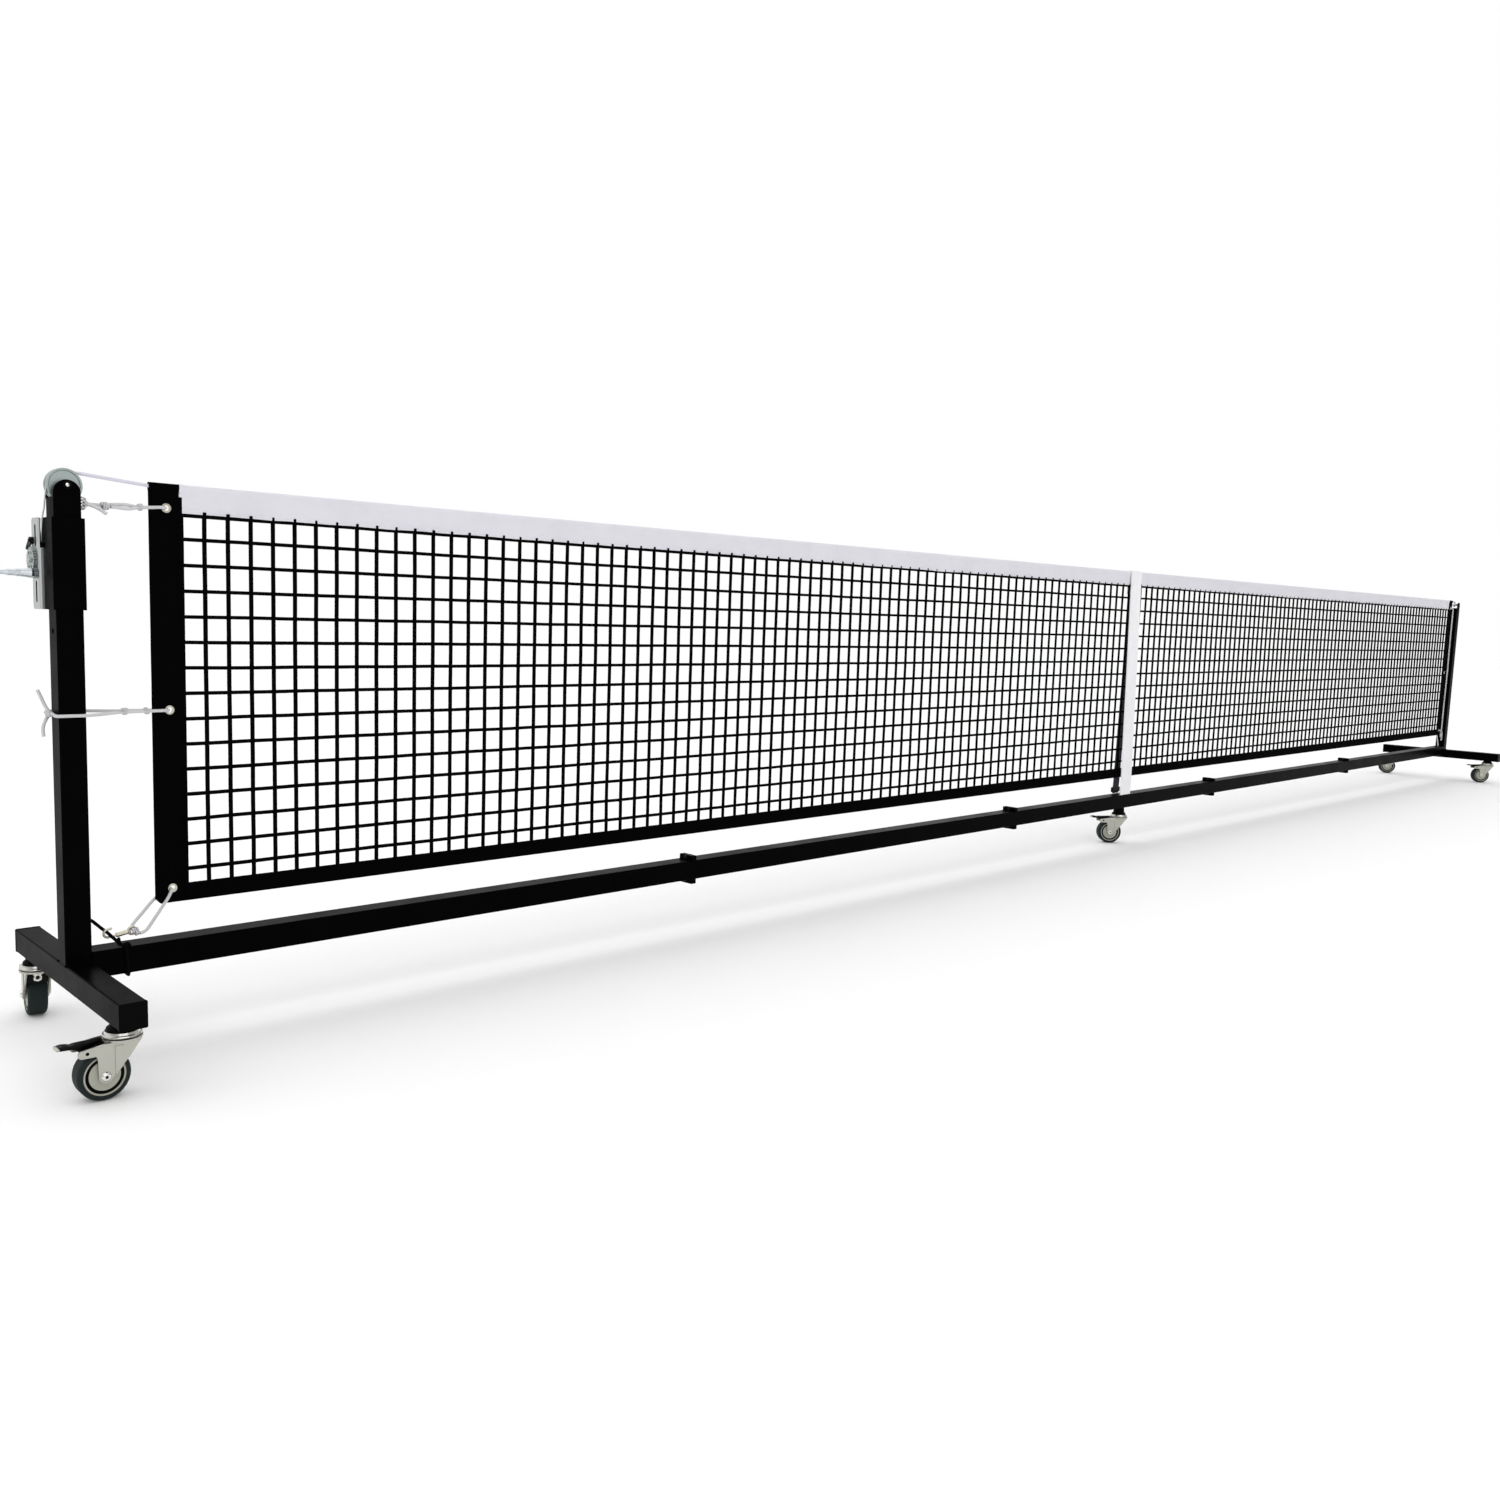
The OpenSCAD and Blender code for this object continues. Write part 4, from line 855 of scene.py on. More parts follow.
SIDE_LACE = [
    (-77, 8, 876), (-70, 7.5, 876), (-64, 6.3, 875.5), (-61.8, 3, 875), (-61.6, 0, 875),
    (-61.8, -3, 875), (-59.6, -6.3, 874.5), (-53, -7.5, 873), (-43, -7.5, 869), (-35, -6, 862),
    (-31, -5, 850), (-31, -5, 700), (-31, -6, 548), (-31, -5, 400), (-31, -5, 272),
    (-35, -6, 262), (-43, -7.5, 255), (-53, -7.5, 251.5), (-59.6, -6.3, 250.5),
    (-61.8, -3, 250), (-61.6, 0, 250), (-61.8, 3, 250), (-60.5, 6.3, 249), (-57, 8, 244),
    (-51, 8.5, 230), (-47, 7, 212), (-45, 4, 194), (-45, 1, 178), (-45, 0, 167.4),
]
BUNGEE = [
    (14, 0, 214), (24, 0, 214), (33, 3, 206), (43, 4, 196), (49, -4, 190), (57, -14, 180),
    (65, -18.5, 171.5), (69, -24, 168), (71, -24.3, 163), (72, -24.3, 146), (73, -24.3, 130),
    (74, -24.2, 123.5), (74, -22.4, 120.8), (74, -19, 120.6), (75, 0, 120.6), (75, 19, 120.6),
    (75, 22.4, 120.8), (75, 24.2, 123.5), (76, 24.3, 130), (76, 24.3, 163), (75, 24, 168),
    (73, 18, 172),
]
RIGHT_TAIL = [
    (-58, -9, 250), (-50, -12, 243), (-44, -12.5, 231), (-48, -12, 219), (-58, -11, 219),
    (-60, -10, 231), (-53, -9, 238), (-43, -9, 233), (-37, -10, 219), (-36, -10, 206),
    (-40, -9, 197),
]
WIRE_START = [(-24.8, 36.55, 787.5), (-25.8, 20.1, 842), (-25.2, 10.2, 862)]
WIRE_END = [(9, 0, 919.2), (16, 0, 917.6)]
CABLE_START = [
    (5, 0, 920.6), (14, 0, 919.2), (24, 0, 917.4), (119, 0, 909), (131, 0, 908), (150, 0, 908),
]
CABLE_END = [(-58, 0, 908), (-46, 0, 908), (-30, 0, 908.5)]
CABLE_TAIL = [(-14, 0, 887.2), (-24, 0, 892.2)]
WIRE_ARC_R = 23.9 * MM
CABLE_LOOP_R = 10.8 * MM
# Knots in the same millimetres: place, direction, radius, turns and rise
TOP_KNOTS = [
    ((60, 0, 871), (1, 0, 0.05), 5.0, 3.0, 10), ((114, 0, 873.2), (1, 0, 0.1), 4.4, 2.5, 7),
]
MIDDLE_KNOTS = [
    ((-28, 2, 548), (0.5, -1, 0.2), 4.6, 3.2, 9), ((84, 0, 548), (1, 0, 0), 4.6, 2.5, 8),
    ((118, 0, 548), (1, 0, 0), 4.6, 2.0, 6),
]
LOW_KNOTS = [((92, -9, 187), (1, 0, 0.3), 5.2, 2.6, 9)]
RIGHT_KNOTS = [
    ((-52, -9, 246), (0.3, -1, 0.4), 6.0, 3.0, 9), ((-50, -9, 232), (0.2, 0.3, -1), 5.0, 2.5, 8),
]
ELASTIC_KNOTS = [((73, -22, 168), (0.2, -1, -0.6), 5.0, 2.2, 7)]
POST_COIL = ((26.5, -1, 873), (0.12, 0.1, 1), 4.4, 4.0, 19)
TOP_LACE_LEAVES = (46, -6, 864)
LACE_STEP = 2.5 * MM
SIDE_LACE_STEP = 3 * MM
WIRE_STEP = 6 * MM
KNOT_CORD_R = 1.6 * MM
KNOT_STEPS = 16
COIL_WIRE_R = 1.3 * MM
CABLE_STEP = 30 * MM
CRIMP = [(-9, 2.2), (-8.4, 4), (8.4, 4), (9, 2.2)]
CRIMP_PLACE = (-38, 0, 906.6)


def route(points, post_x):
    return [Vector((post_x + x * MM, y * MM, z * MM)) for x, y, z in points]


def arc_points(centre_x, radius, start, stop, step):
    """Points of an arc in the plane of the posts, by angles in degrees, about the pulley's height."""
    angles = [math.radians(a) for a in range(start, stop, step)]
    return [
        Vector((centre_x + radius * math.cos(a), 0, PULLEY_Z + radius * math.sin(a)))
        for a in angles
    ]


def knot_path(post_x, place, along, radius, turns, rise):
    """Turns wound round a line through a place, all given in millimetres."""
    centre = route([place], post_x)[0]
    radius, rise = radius * MM, rise * MM
    along = Vector(along).normalized()
    side = along.cross(Vector((0.3, 0.2, 1.0)) if abs(along.z) < 0.9 else Vector((1, 0.2, 0)))
    side.normalize()
    up = side.cross(along)
    steps = round(KNOT_STEPS * turns)
    path = []
    for k in range(steps + 1):
        turn = math.tau * turns * k / steps
        out = side * math.cos(turn) + up * math.sin(turn)
        path.append(centre + out * radius + along * rise * (k / steps - 0.5))
    return path


def knots(name, post_x, wound, slot="cord_white"):
    """The wound knots of a cord, as one piece."""
    bm = bmesh.new()
    for knot in wound:
        merge_in(bm, tube_bmesh(knot_path(post_x, *knot), KNOT_CORD_R))
    return piece_from(name, bm, slot, sharp_angle=60.0)


def free_cord(
    name, path, radius, slot, far_end, lay, stiffness="limp", leaves=None, replaced=(), pieces=()
):
    """A cord along a path, as a tube piece; the arguments for where it leaves the object are not used.
    """
    piece = cord_piece(name, path, radius, slot, replaced=replaced)


class COURTNET_OT_cords(Operator):
    """Winch wire, top cable, lacing cords and elastic cord"""

    bl_idname = "court_net.cords"
    bl_label = "Cords"

    def execute(self, context):
        s = sizes()
        left, right = LEFT_POST_X, RIGHT_POST_X
        white = (s.lace_radius, "cord_white")

        wire = smooth_path(route(WIRE_START, left), WIRE_STEP)
        wire += arc_points(left, WIRE_ARC_R, 176, 76, -8) + route(WIRE_END, left)
        free_cord(
            "winch_wire", wire, s.wire_radius, "wire_steel", "object", "taut", "stiff",
            replaced=["net_cable"],
        )

        cable = smooth_path(route(CABLE_START, left), 5 * MM)
        ahead = route(CABLE_END, right)
        spans = round((ahead[0].x - cable[-1].x) / CABLE_STEP)
        gap = (ahead[0] - cable[-1]) / spans
        cable += [cable[-1] + gap * k for k in range(1, spans)]
        loop = arc_points(right, CABLE_LOOP_R, 100, -130, -12) + route(CABLE_TAIL, right)
        cable += smooth_path(ahead + loop, 3 * MM)
        crimp = lathe(CRIMP, route([CRIMP_PLACE], right)[0], (1, 0, 0), 20)
        free_cord(
            "top_cable", cable, s.cable_radius, "cable_white", "object", "taut", "stiff",
            pieces=[piece_from("cable_crimp", crimp, "cable_white")],
        )

        free_cord(
            "top_lacing", smooth_path(route(TOP_LACE, left), LACE_STEP), *white, "knot", "taut",
            leaves=route([TOP_LACE_LEAVES], left)[0], replaced=["lacing_top"],
            pieces=[knots("top_knots", left, TOP_KNOTS)],
        )
        cord_piece("post_coil", knot_path(left, *POST_COIL), COIL_WIRE_R, "wire_steel")
        free_cord(
            "middle_lacing", smooth_path(route(MIDDLE_LACE, left), LACE_STEP), *white, "bare",
            "taut", replaced=["lacing_middle"],
            pieces=[knots("middle_knots", left, MIDDLE_KNOTS)],
        )
        free_cord(
            "bottom_lacing", smooth_path(route(LOW_LACE, left), LACE_STEP), *white, "knot", "taut",
            replaced=["lacing_bottom"], pieces=[knots("bottom_knots", left, LOW_KNOTS)],
        )
        free_cord(
            "right_lacing", smooth_path(route(SIDE_LACE, right), SIDE_LACE_STEP), *white, "knot", "taut",
            replaced=["side_lace"],
        )
        free_cord(
            "right_tail", smooth_path(route(RIGHT_TAIL, right), LACE_STEP), *white, "bare",
            "hanging", pieces=[knots("right_knots", right, RIGHT_KNOTS)],
        )
        free_cord(
            "elastic_cord", smooth_path(route(BUNGEE, left), LACE_STEP), s.bungee_radius,
            "cord_black", "knot", "taut", replaced=["bungee"],
            pieces=[knots("elastic_knots", left, ELASTIC_KNOTS, "cord_black")],
        )
        return {"FINISHED"}


# ---------------------------------------------------------------- netting and tapes

# the netting: how far it is tucked into its tapes, where its top edge and its border cord are
# about the headband's lower edge, a knot's depth to its width, and the sides of a thread
NET_TUCK = 6 * MM
NET_EDGE_UP = 2.4 * MM
BORDER_DOWN = 1.2 * MM
KNOT_DEPTH = 0.8
THREAD_SIDES = 6
# its slack, in two sizes of wave per metre; noise_vector is seeded by the clock until it is set
SLACK_SEED = 5
SLOW_WAVES = 2.1
QUICK_WAVES = 11.0
# a tape's section: half the gap between its sides, its thickness, its fold, and the points below
# the fold, each given as (across, down from the top)
TAPE_HALF = 1.3 * MM
TAPE_CLOTH = 0.8 * MM
TAPE_FOLD_R = 3.8 * MM
TAPE_NECK = [(-1.3 * MM, 14 * MM), (-3.1 * MM, 9.6 * MM), (-3.7 * MM, 6.8 * MM)]
# rows of stitches: how far out, up from the headband's edge, and in from a tape's ends
SEAM_OUT = TAPE_HALF + TAPE_CLOTH / 2 + 0.1 * MM
HEAD_SEAMS = (5 * MM, 10 * MM)
BAND_SEAM_END = 12 * MM
BAND_SEAM_OUTER = 4 * MM
BAND_SEAMS_INNER = (4 * MM, 9 * MM)
HEM_SEAM_OUT = 1.5 * MM
HEM_SEAM_DOWN = 6 * MM
# how far the tapes reach past each other
HEAD_TUCK = 3 * MM
TAB_DEPTH = 21 * MM
TAB_REACH = 5 * MM
LEFT_BAND_OUT = 6 * MM
BAND_TUCK = 2 * MM
HEM_OVERLAP = 4 * MM
EYE_R = 6.6 * MM
EYE_IN = 8 * MM
GROMMET_X = (low("grommets", X) + EYE_IN, high("grommets", X) - EYE_IN)
GROMMET_Z = (875 * MM, 548 * MM, 250 * MM)
CORNER_CUT = 8 * MM
STITCH_HALF = (0.4 * MM, 0.32 * MM)


def thread(length, radius, segments, matrix):
    """A closed thread in equal lengths, made along Z and put in place."""
    bm = bmesh.new()
    disc = bmesh.ops.create_circle(bm, cap_ends=True, segments=THREAD_SIDES, radius=radius)
    end = disc["verts"][0].link_faces[:1]
    for step in range(segments):
        made = bmesh.ops.extrude_face_region(bm, geom=end)
        if step:
            bmesh.ops.delete(bm, geom=end, context="FACES_ONLY")
        verts = of_kind(bmesh.types.BMVert, made)
        bmesh.ops.translate(bm, vec=(0, 0, length / segments), verts=verts)
        end = of_kind(bmesh.types.BMFace, made)
    return moved(face_out(bm), matrix)


class COURTNET_OT_netting(Operator):
    """Square netting of black twine with a knot at each crossing"""

    bl_idname = "court_net.netting"
    bl_label = "Netting"

    def execute(self, context):
        s = sizes()
        x0, x1 = BAND_LEFT_INNER - NET_TUCK, BAND_RIGHT_INNER + NET_TUCK
        z0, z1 = HEM_TOP - NET_TUCK / 2, HEAD_BOTTOM + NET_TUCK
        wide, tall = x1 - x0, z1 - z0
        columns = round(wide / s.column_pitch)
        pitch = wide / columns
        top_row = HEAD_BOTTOM + NET_EDGE_UP - s.row_pitch
        rows = int((top_row - z0) / s.row_pitch) + 1

        place = Matrix.Translation((x0 + pitch, 0, z0))
        bm = thread(tall, s.upright_radius, 2 * rows, place)
        shape = Matrix.Diagonal((s.knot_radius, s.knot_radius * KNOT_DEPTH, s.knot_radius, 1))
        for row in range(rows):
            place = Matrix.Translation((x0 + pitch, 0, top_row - row * s.row_pitch))
            bmesh.ops.create_icosphere(bm, subdivisions=1, radius=1, matrix=place @ shape)
        repeat(bm, columns - 2, (pitch, 0, 0))

        # the level threads, and the border cord just under the headband
        level = Matrix.Rotation(math.pi / 2, 4, "Y")
        for z, more in ((top_row, rows - 1), (HEAD_BOTTOM - BORDER_DOWN, 0)):
            place = Matrix.Translation((x0, 0, z)) @ level
            across = thread(wide, s.level_radius, 2 * columns, place)
            repeat(across, more, (0, 0, -s.row_pitch))
            merge_in(bm, across)
        face_out(bm)
        noise.seed_set(SLACK_SEED)
        for vert in bm.verts:
            slow = noise.noise_vector(vert.co * SLOW_WAVES) * s.slack
            quick = noise.noise_vector(vert.co * QUICK_WAVES) * s.slack
            vert.co += Vector((0.7 * quick.x + 0.4 * slow.x, 0.5 * quick.y + slow.y, 0.8 * quick.z))
        net = piece_from("netting", bm, "net_black", replaced=["net_mesh"], sharp_angle=80.0)
        return {"FINISHED"}


def tape_profile(bottom, rows):
    """A tape folded over the top cable: up the front, over the top and down the back."""
    centre = NET_TOP - TAPE_FOLD_R
    neck = [(y, NET_TOP - down) for y, down in TAPE_NECK]
    rise = neck[0][1] - bottom
    front = [(-TAPE_HALF, bottom + rise * k / rows) for k in range(rows)] + neck
    over = [
        (TAPE_FOLD_R * math.cos(a), centre + TAPE_FOLD_R * math.sin(a))
        for a in (math.radians(d) for d in range(180, -1, -20))
    ]
    return front + over + [(-y, z) for y, z in reversed(front)]


def folded_tape(profile, start, end, steps):
    """A tape's sheet along X, and the size of the tape laid flat, from its fold and its ends."""
    bm = drawn_strip(profile, start, end, steps)
    depth = NET_TOP - TAPE_FOLD_R - profile[0][1]
    return bm, (2 * depth + math.pi * TAPE_FOLD_R, end - start)


def pucker(bm, top, depth, fine, amount):
    """Puckers a tape, more so away from its fold, and gives it its wall."""
    for vert in bm.verts:
        away = min(1.0, abs(top - vert.co.z) / depth)
        pucker = noise.noise(Vector((vert.co.x * fine, 0, vert.co.z * fine * 2.2)))
        ripple = noise.noise(Vector((vert.co.x * fine * 4.5, 3.0, vert.co.z * fine * 2.0)))
        face = 1 if vert.co.y > 0 else -1
        vert.co.y += face * (0.6 * pucker + 0.4 * ripple) * amount * away
    thicken(bm, TAPE_CLOTH)


def open_eyes(bm, x, heights):
    """Cuts a round opening for each eyelet."""
    for z in heights:
        inside = [
            f
            for f in bm.faces
            if math.hypot(f.calc_center_median().x - x, f.calc_center_median().z - z) < EYE_R
        ]
        rim = {v for f in inside for v in f.verts}
        bmesh.ops.delete(bm, geom=inside, context="FACES")
        for vert in rim:
            if vert.is_valid:
                away = Vector((vert.co.x - x, 0, vert.co.z - z))
                vert.co += away.normalized() * (EYE_R - away.length)


def stitches(name, slot, rows, faces=(-1, 1)):
    """Rows of small stitches on each face: from (x, z) to (x, z), at a distance out along Y."""
    s = sizes()
    bm = bmesh.new()
    for face in faces:
        outward = Vector((0, face, 0))
        for *ends, out in rows:
            start, end = (Vector((x, face * out, z)) for x, z in ends)
            along = (end - start).normalized()
            count = (end - start).length / s.stitch_pitch
            group = max(1, round(math.sqrt(count)))
            groups = math.ceil(count / group)
            step = (end - start) / (group * groups)
            turn = Matrix((along, along.cross(outward), outward)).transposed().to_4x4()
            shape = Matrix.Diagonal((s.stitch_length / 2, *STITCH_HALF, 1))
            row = bmesh.new()
            place = Matrix.Translation(start + step / 2) @ turn @ shape
            bmesh.ops.create_icosphere(row, subdivisions=1, radius=1, matrix=place)
            repeat(row, group - 1, step)
            repeat(row, groups - 1, step * group)
            merge_in(bm, row)
    return piece_from(name, bm, slot, sharp_angle=80.0)


def sewn_tape(name, bm, slot, replaced=()):
    tape = piece_from(name, bm, slot, replaced=replaced, sharp_angle=60.0)


class COURTNET_OT_tapes(Operator):
    """Headband, side bands and bottom band with their stitches"""

    bl_idname = "court_net.tapes"
    bl_label = "Tapes"

    def execute(self, context):
        x0, x1 = BAND_LEFT_INNER - HEAD_TUCK, BAND_RIGHT_INNER

        bm, flat = folded_tape(tape_profile(HEAD_BOTTOM, 5), x0, x1, 640)
        pucker(bm, NET_TOP, 30 * MM, 9.0, 0.8 * MM)
        heights = [HEAD_BOTTOM + up for up in HEAD_SEAMS]
        rows = [((x0, z), (x1, z), SEAM_OUT) for z in heights]
        sewn = stitches("headband_stitches", "tape_white", rows)
        sewn_tape("headband_tape", bm, "tape_white", ["headband"])

        tab = [(y * 1.35, z + 0.9 * MM) for y, z in tape_profile(NET_TOP - TAB_DEPTH, 3)]
        bm = drawn_strip(tab, x0 - TAB_REACH, x0 + HEAD_TUCK, 5)
        pucker(bm, NET_TOP, 30 * MM, 60.0, 1.0 * MM)
        piece_from("headband_tab", bm, "tape_white", sharp_angle=60.0)

        for side, out, outer, inner, eye, replaced in (
            ("left", -1, NET_LEFT - LEFT_BAND_OUT, x0, GROMMET_X[0], ["net_border"]),
            ("right", 1, NET_RIGHT, x1, GROMMET_X[1], ()),
        ):
            start, end = sorted((outer, inner - out * BAND_TUCK))
            bm, flat = folded_tape(tape_profile(NET_BOTTOM, 150), start, end, 12)
            open_eyes(bm, eye, GROMMET_Z)
            bmesh.ops.bisect_plane(
                bm, geom=bm.verts[:] + bm.edges[:] + bm.faces[:], clear_outer=True,
                plane_co=(outer - out * CORNER_CUT, 0, NET_BOTTOM), plane_no=(out, 0, -1),
            )
            pucker(bm, NET_TOP, 60 * MM, 12.0, 0.7 * MM)
            seams = [outer - out * BAND_SEAM_OUTER] + [inner + out * s for s in BAND_SEAMS_INNER]
            foot, top = NET_BOTTOM + BAND_SEAM_END, NET_TOP - BAND_SEAM_END
            rows = [((x, foot), (x, top), SEAM_OUT) for x in seams]
            sewn = stitches(f"{side}_band_stitches", "band_black", rows)
            sewn_tape(f"{side}_band", bm, "band_black", replaced)

        # the bottom band is a tape turned over, with its fold below
        depth = HEM_TOP - NET_BOTTOM
        hem = [(y * 0.75, NET_BOTTOM + NET_TOP - z) for y, z in tape_profile(NET_TOP - depth, 4)]
        bm = drawn_strip(hem, x0 - HEM_OVERLAP, x1 + HEM_OVERLAP, 420)
        pucker(bm, NET_BOTTOM, 16 * MM, 10.0, 0.9 * MM)
        seam = HEM_TOP - HEM_SEAM_DOWN
        rows = [((x0, seam), (x1, seam), HEM_SEAM_OUT)]
        sewn = stitches("bottom_band_stitches", "band_black", rows)
        sewn_tape("bottom_band", bm, "band_black")
        return {"FINISHED"}


# Sections of the strap and its tail in Y and Z, in millimetres: up the front, over and down
STRAP_TOP = [
    (-17.8, 167.9), (-17.7, 173), (-17.4, 192), (-5.5, 905), (-5.5, 913), (-4.4, 915.5),
    (0, 915.9), (4.4, 915.5), (5.5, 913), (5.6, 905), (6.5, 839),
]
STRAP_TAIL = [(6.5, 839), (17.4, 196), (17.8, 190), (17.8, 168.5)]
STRAP_CLOTH = 2.2 * MM
TAIL_CLOTH = 1.8 * MM
STRAP_SPACING = 9 * MM
# its rows of stitches: their heights in millimetres, and how far in from its edges they end
STRAP_SEAMS = (196, 204, 858, 866)
STRAP_SEAM_IN = 5 * MM
# the strap's face comes in as it rises from its foot
STRAP_FOOT_Z, STRAP_RISE, STRAP_FOOT_Y, STRAP_COMES_IN = 167, 747, 19.2, 12.2


class COURTNET_OT_strap(Operator):
    """Centre strap with its dark tail and buckle"""

    bl_idname = "court_net.strap"
    bl_label = "Centre strap"

    def execute(self, context):
        tail_half = half("strap_tail", X)
        for name, points, half_wide, cloth, slot, node in (
            ("strap_band", STRAP_TOP, STRAP_HALF, STRAP_CLOTH, "strap_white", "centre_strap"),
            ("strap_webbing", STRAP_TAIL, tail_half, TAIL_CLOTH, "strap_dark", "strap_tail"),
        ):
            line = [Vector((0, y * MM, z * MM)) for y, z in points]
            profile = []
            for a, b in zip(line, line[1:]):
                count = max(1, round((b - a).length / STRAP_SPACING))
                profile += [a + (b - a) * k / count for k in range(count)]
            profile = [(p.y, p.z) for p in profile + [line[-1]]]
            bm = drawn_strip(profile, -half_wide, half_wide, 14)
            for vert in bm.verts:
                x, y, z = vert.co
                sway = noise.noise(Vector((x * 14.0, y * 8, z * 3.0)))
                free = min(1.0, (NET_TOP - z) / 0.08) * min(1.0, (z - BAR_TOP_Z) / 0.05)
                cup = (x / half_wide) ** 2
                vert.co.y += (1.6 * sway - 0.8 * cup) * MM * max(0.0, free)
            thicken(bm, cloth)
            strap = piece_from(name, bm, slot, replaced=[node], sharp_angle=50.0)
        seam_half = STRAP_HALF - STRAP_SEAM_IN
        rows = []
        for z in STRAP_SEAMS:
            out = STRAP_FOOT_Y - (z - STRAP_FOOT_Z) * STRAP_COMES_IN / STRAP_RISE
            rows.append(((-seam_half, z * MM), (seam_half, z * MM), out * MM))
        stitches("strap_stitches", "strap_white", rows, faces=(-1,))
        dress("strap_buckle")
        return {"FINISHED"}


# ---------------------------------------------------------------- hard pieces

FRAME_NODES = [
    "left_post", "right_post", "left_foot", "right_foot", "foot_end_caps",
    "crossbar_left_end", "crossbar_left_inner", "crossbar_centre", "crossbar_right_inner",
    "crossbar_right_end", "flange_bolts", "post_bolts", "post_eye", "snap_hook", "grommets",
]
WINCH_NODES = [
    "winch_sleeve", "winch_bracket", "winch_bolts", "winch_drum", "drum_gear", "cable_turns",
    "pinion_shaft", "crank_handle", "crank_grip", "ratchet_pawl", "pulley",
]
WELD_PITCH = 2.2 * MM
WELD_R = 2.3 * MM
# the wire's guide in the bracket's notch: how far in the notch starts, what its corner keeps
# clear, and its walls and sill, in millimetres: size, then how far in and down their middles are
NOTCH_IN, NOTCH_DOWN = 2.5 * MM, 0.5 * MM
GUIDE = [
    ((1.4, 3.4, 38), 0.7, 19), ((1.4, 13.0, 38), 6.2, 19), ((6.6, 3.4, 8.0), 3.5, 41.3),
]
# turned sections in millimetres: distance out along the axis, and radius
AXLE_COVER = [
    (0.05, 7.0), (1.6, 6.8), (3.0, 5.2), (3.5, 3.8), (3.3, 2.9), (2.4, 2.7), (0.05, 2.7),
]
HUB_SEAL = [(12.1, 22.6), (13.8, 22.6), (14.4, 23.4), (14.4, 26.5), (13.8, 27.3), (12.1, 27.3)]
AXLE_SOCKET = [(0, 0.01), (0, 2.5), (0.3, 2.3), (0.3, 0.01)]
AXLE_RIM = [
    (-3.35, 7.0), (-2.2, 7.2), (-0.5, 6.3), (0.7, 4.6), (0.9, 3.4), (0.5, 2.5), (-0.4, 2.3),
    (-3.35, 2.3),
]
BRAKE_BOLT = [(0, 2.4), (0, 7.2), (2.2, 7.2), (3.6, 6.0), (3.8, 4.0), (2.2, 2.8)]
PEDAL_PIN = [(-20.7, 1.9), (-20.2, 2.5), (20.2, 2.5), (20.7, 1.9)]


def weld_beads(name, lines):
    """Rippled weld beads along lines, each (start, end)."""
    bm = bmesh.new()
    for start, end in lines:
        start, end = Vector(start), Vector(end)
        count = round((end - start).length / WELD_PITCH)
        one = bmesh.new()
        place = Matrix.Translation(start)
        bmesh.ops.create_icosphere(one, subdivisions=2, radius=WELD_R, matrix=place)
        repeat(one, count, (end - start) / count)
        merge_in(bm, one)
    piece_from(name, bm, "frame_black", sharp_angle=80.0)


class COURTNET_OT_frame(Operator):
    """Posts, feet, crossbar and their fittings"""

    bl_idname = "court_net.frame"
    bl_label = "Frame"

    def execute(self, context):
        for node in FRAME_NODES:
            dress(node)
        h, z = TUBE_HALF, FOOT_TOP_Z
        for name, x in (("left_welds", LEFT_POST_X), ("right_welds", RIGHT_POST_X)):
            weld_beads(name, [((x - h, y, z), (x + h, y, z)) for y in (-h, h)])
        return {"FINISHED"}


class COURTNET_OT_winch(Operator):
    """Winch, crank and pulley"""

    bl_idname = "court_net.winch"
    bl_label = "Winch"

    def execute(self, context):
        for node in WINCH_NODES:
            dress(node, "bracket_zinc" if node == "winch_bracket" else None)

        corner_x = low("winch_bracket", X) + NOTCH_IN
        corner_y = low("winch_bracket", Y)
        corner_z = high("winch_bracket", Z) - NOTCH_DOWN
        guide = bmesh.new()
        for size, across, down in GUIDE:
            place = (corner_x + across * MM, corner_y + size[1] / 2 * MM, corner_z - down * MM)
            merge_in(guide, block(size, place, 0.5))
        piece_from("wire_guide", guide, "cap_black")

        covers = bmesh.new()
        for x in (LEFT_POST_X, RIGHT_POST_X):
            merge_in(covers, both_faces(AXLE_COVER, (x, 0, PULLEY_Z), TUBE_HALF, 40))
        piece_from("axle_covers", covers, "cap_black")
        return {"FINISHED"}


# how far each caster has swivelled, in degrees
TURNS = (0, -98, -45, -50, -60)
# in a caster's own frame: its wheel's trail, the yoke's outer faces, and the small pieces
TRAIL = 30 * MM
YOKE_OUT = 23.9 * MM
PEDAL_Z = 77 * MM
PIN_PLACE = (-55 * MM, 0, PEDAL_Z)
TIP_PLACE = (-90.6 * MM, 0, PEDAL_Z + 9.8 * MM)
BLOCK_PLACE = (4 * MM, 0, 74.5 * MM)
BOLT_PLACE = (5.4 * MM, 0, 74 * MM)
# side views of the pedal, in millimetres from the swivel's line and from the pedal's pin height
PEDAL_ARM = [
    (-30, 14.5), (-30, 11), (-48, 3), (-51.5, -4), (-52.2, -7.4), (-57, -6), (-60.5, -1.5),
    (-66, 3.5), (-76, 7), (-76, 11), (-68, 12.6), (-52, 13),
]
PEDAL_PAD = [(-73, 6.2), (-91, 7.4), (-91, 12.4), (-84, 13.4), (-77, 12.6), (-73, 11.6)]


def caster_matrix(number):
    """From a caster's own frame, with its wheel trailing along -X, to the row frame."""
    turn = Matrix.Rotation(math.radians(TURNS[number - 1]), 4, "Z")
    axle = middle(f"caster_{number}_hub")
    swivel = axle + turn @ Vector((TRAIL, 0, 0))
    return Matrix.Translation((swivel.x, swivel.y, 0)) @ turn


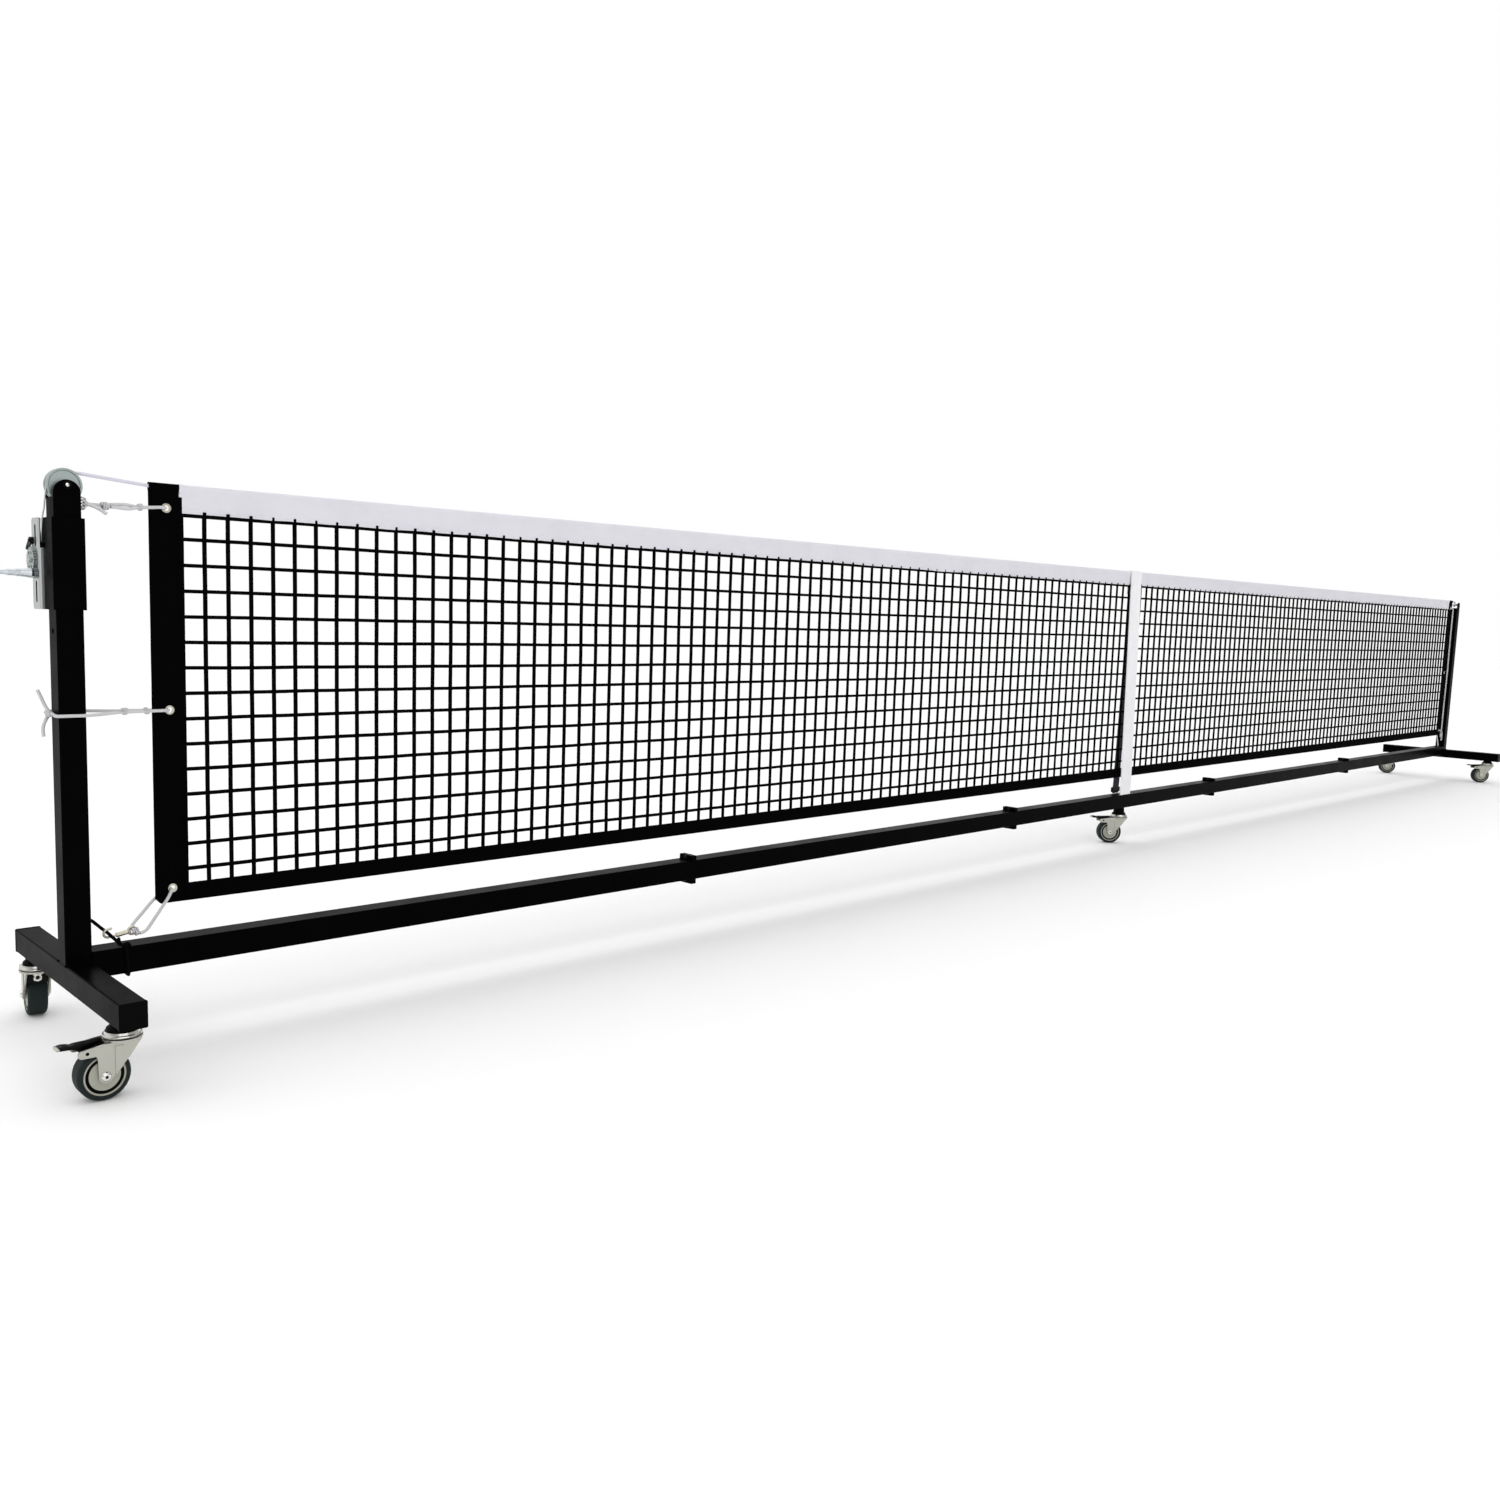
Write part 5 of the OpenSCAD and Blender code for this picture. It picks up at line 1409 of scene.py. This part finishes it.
def plate_bmesh(outline, width, bevel):
    """A side view made as wide as given, all in millimetres, and rounded along its edges."""
    bm = bmesh.new()
    verts = [bm.verts.new((x * MM, -width * MM / 2, PEDAL_Z + z * MM)) for x, z in outline]
    made = bmesh.ops.extrude_face_region(bm, geom=[bm.faces.new(verts)])
    bmesh.ops.translate(bm, vec=(0, width * MM, 0), verts=of_kind(bmesh.types.BMVert, made))
    return rounded(face_out(bm), bevel * MM)


class COURTNET_OT_casters(Operator):
    """Casters with their seals, axle sockets, brake blocks and pedal tips"""

    bl_idname = "court_net.casters"
    bl_label = "Casters"

    def execute(self, context):
        dress("caster_stems")
        dress("caster_spacers")
        axle = Vector((-TRAIL, 0, AXLE_Z))
        for number in range(1, CASTER_COUNT + 1):
            for part in ("yoke", "hub", "tyre"):
                dress(f"caster_{number}_{part}")

            pedal = plate_bmesh(PEDAL_ARM, 13, 1.2)
            merge_in(pedal, plate_bmesh(PEDAL_PAD, 17, 1.4))
            merge_in(pedal, lathe(PEDAL_PIN, PIN_PLACE, (0, 1, 0), 24))
            brake = block((3, 33, 20), BLOCK_PLACE, 1.2)
            bolt = lathe(BRAKE_BOLT, BOLT_PLACE, (1, 0, 0), 32)
            for part, bm, slot, body in (
                ("seals", both_faces(HUB_SEAL, axle, 0, 64), "cap_black", "wheel"),
                ("sockets", both_faces(AXLE_SOCKET, axle, YOKE_OUT, 6), "bolt_black", "swivel"),
                ("bolt_rims", both_faces(AXLE_RIM, axle, YOKE_OUT, 32), "fastener_steel", "swivel"),
                ("brake_block", brake, "pedal_black", "swivel"),
                ("brake_bolt", bolt, "fastener_steel", "swivel"),
                ("pedal_lever", pedal, "pedal_black", "brake"),
                ("pedal_tip", block((6.0, 18, 5.2), TIP_PLACE, 2.0), "yoke_nickel", "brake"),
            ):
                piece_from(
                    f"caster_{number}_{part}", moved(bm, caster_matrix(number)), slot,
                    body=f"{body}_{number}",
                    replaced=[f"caster_{number}_pedal"] if part == "pedal_lever" else (),
                )
        return {"FINISHED"}


class COURTNET_PT_panel(Panel):
    """Buttons and settings of the court net"""

    bl_label = "Court Net"
    bl_idname = "COURTNET_PT_panel"
    bl_space_type = "VIEW_3D"
    bl_region_type = "UI"
    bl_category = "Court Net"

    def draw(self, context):
        layout = self.layout
        for operator in OPERATORS:
            layout.operator(operator.bl_idname)
        for group in (context.scene.court_net_colours, context.scene.court_net_sizes):
            for name in group.bl_rna.properties.keys():
                if name not in ("rna_type", "name"):
                    layout.prop(group, name)


OPERATORS = [
    COURTNET_OT_stage,
    COURTNET_OT_cords,
    COURTNET_OT_netting,
    COURTNET_OT_tapes,
    COURTNET_OT_strap,
    COURTNET_OT_frame,
    COURTNET_OT_winch,
    COURTNET_OT_casters,
]
CLASSES = [NetColours, NetSizes, *OPERATORS, COURTNET_PT_panel]


def register():
    for cls in CLASSES:
        bpy.utils.register_class(cls)
    bpy.types.Scene.court_net_colours = PointerProperty(type=NetColours)
    bpy.types.Scene.court_net_sizes = PointerProperty(type=NetSizes)


def unregister():
    del bpy.types.Scene.court_net_sizes
    del bpy.types.Scene.court_net_colours
    for cls in reversed(CLASSES):
        bpy.utils.unregister_class(cls)


def main():
    register()
    bpy.ops.court_net.stage()
    bpy.ops.court_net.cords()
    bpy.ops.court_net.netting()
    bpy.ops.court_net.tapes()
    bpy.ops.court_net.strap()
    bpy.ops.court_net.frame()
    bpy.ops.court_net.winch()
    bpy.ops.court_net.casters()


if __name__ == "__main__":
    main()
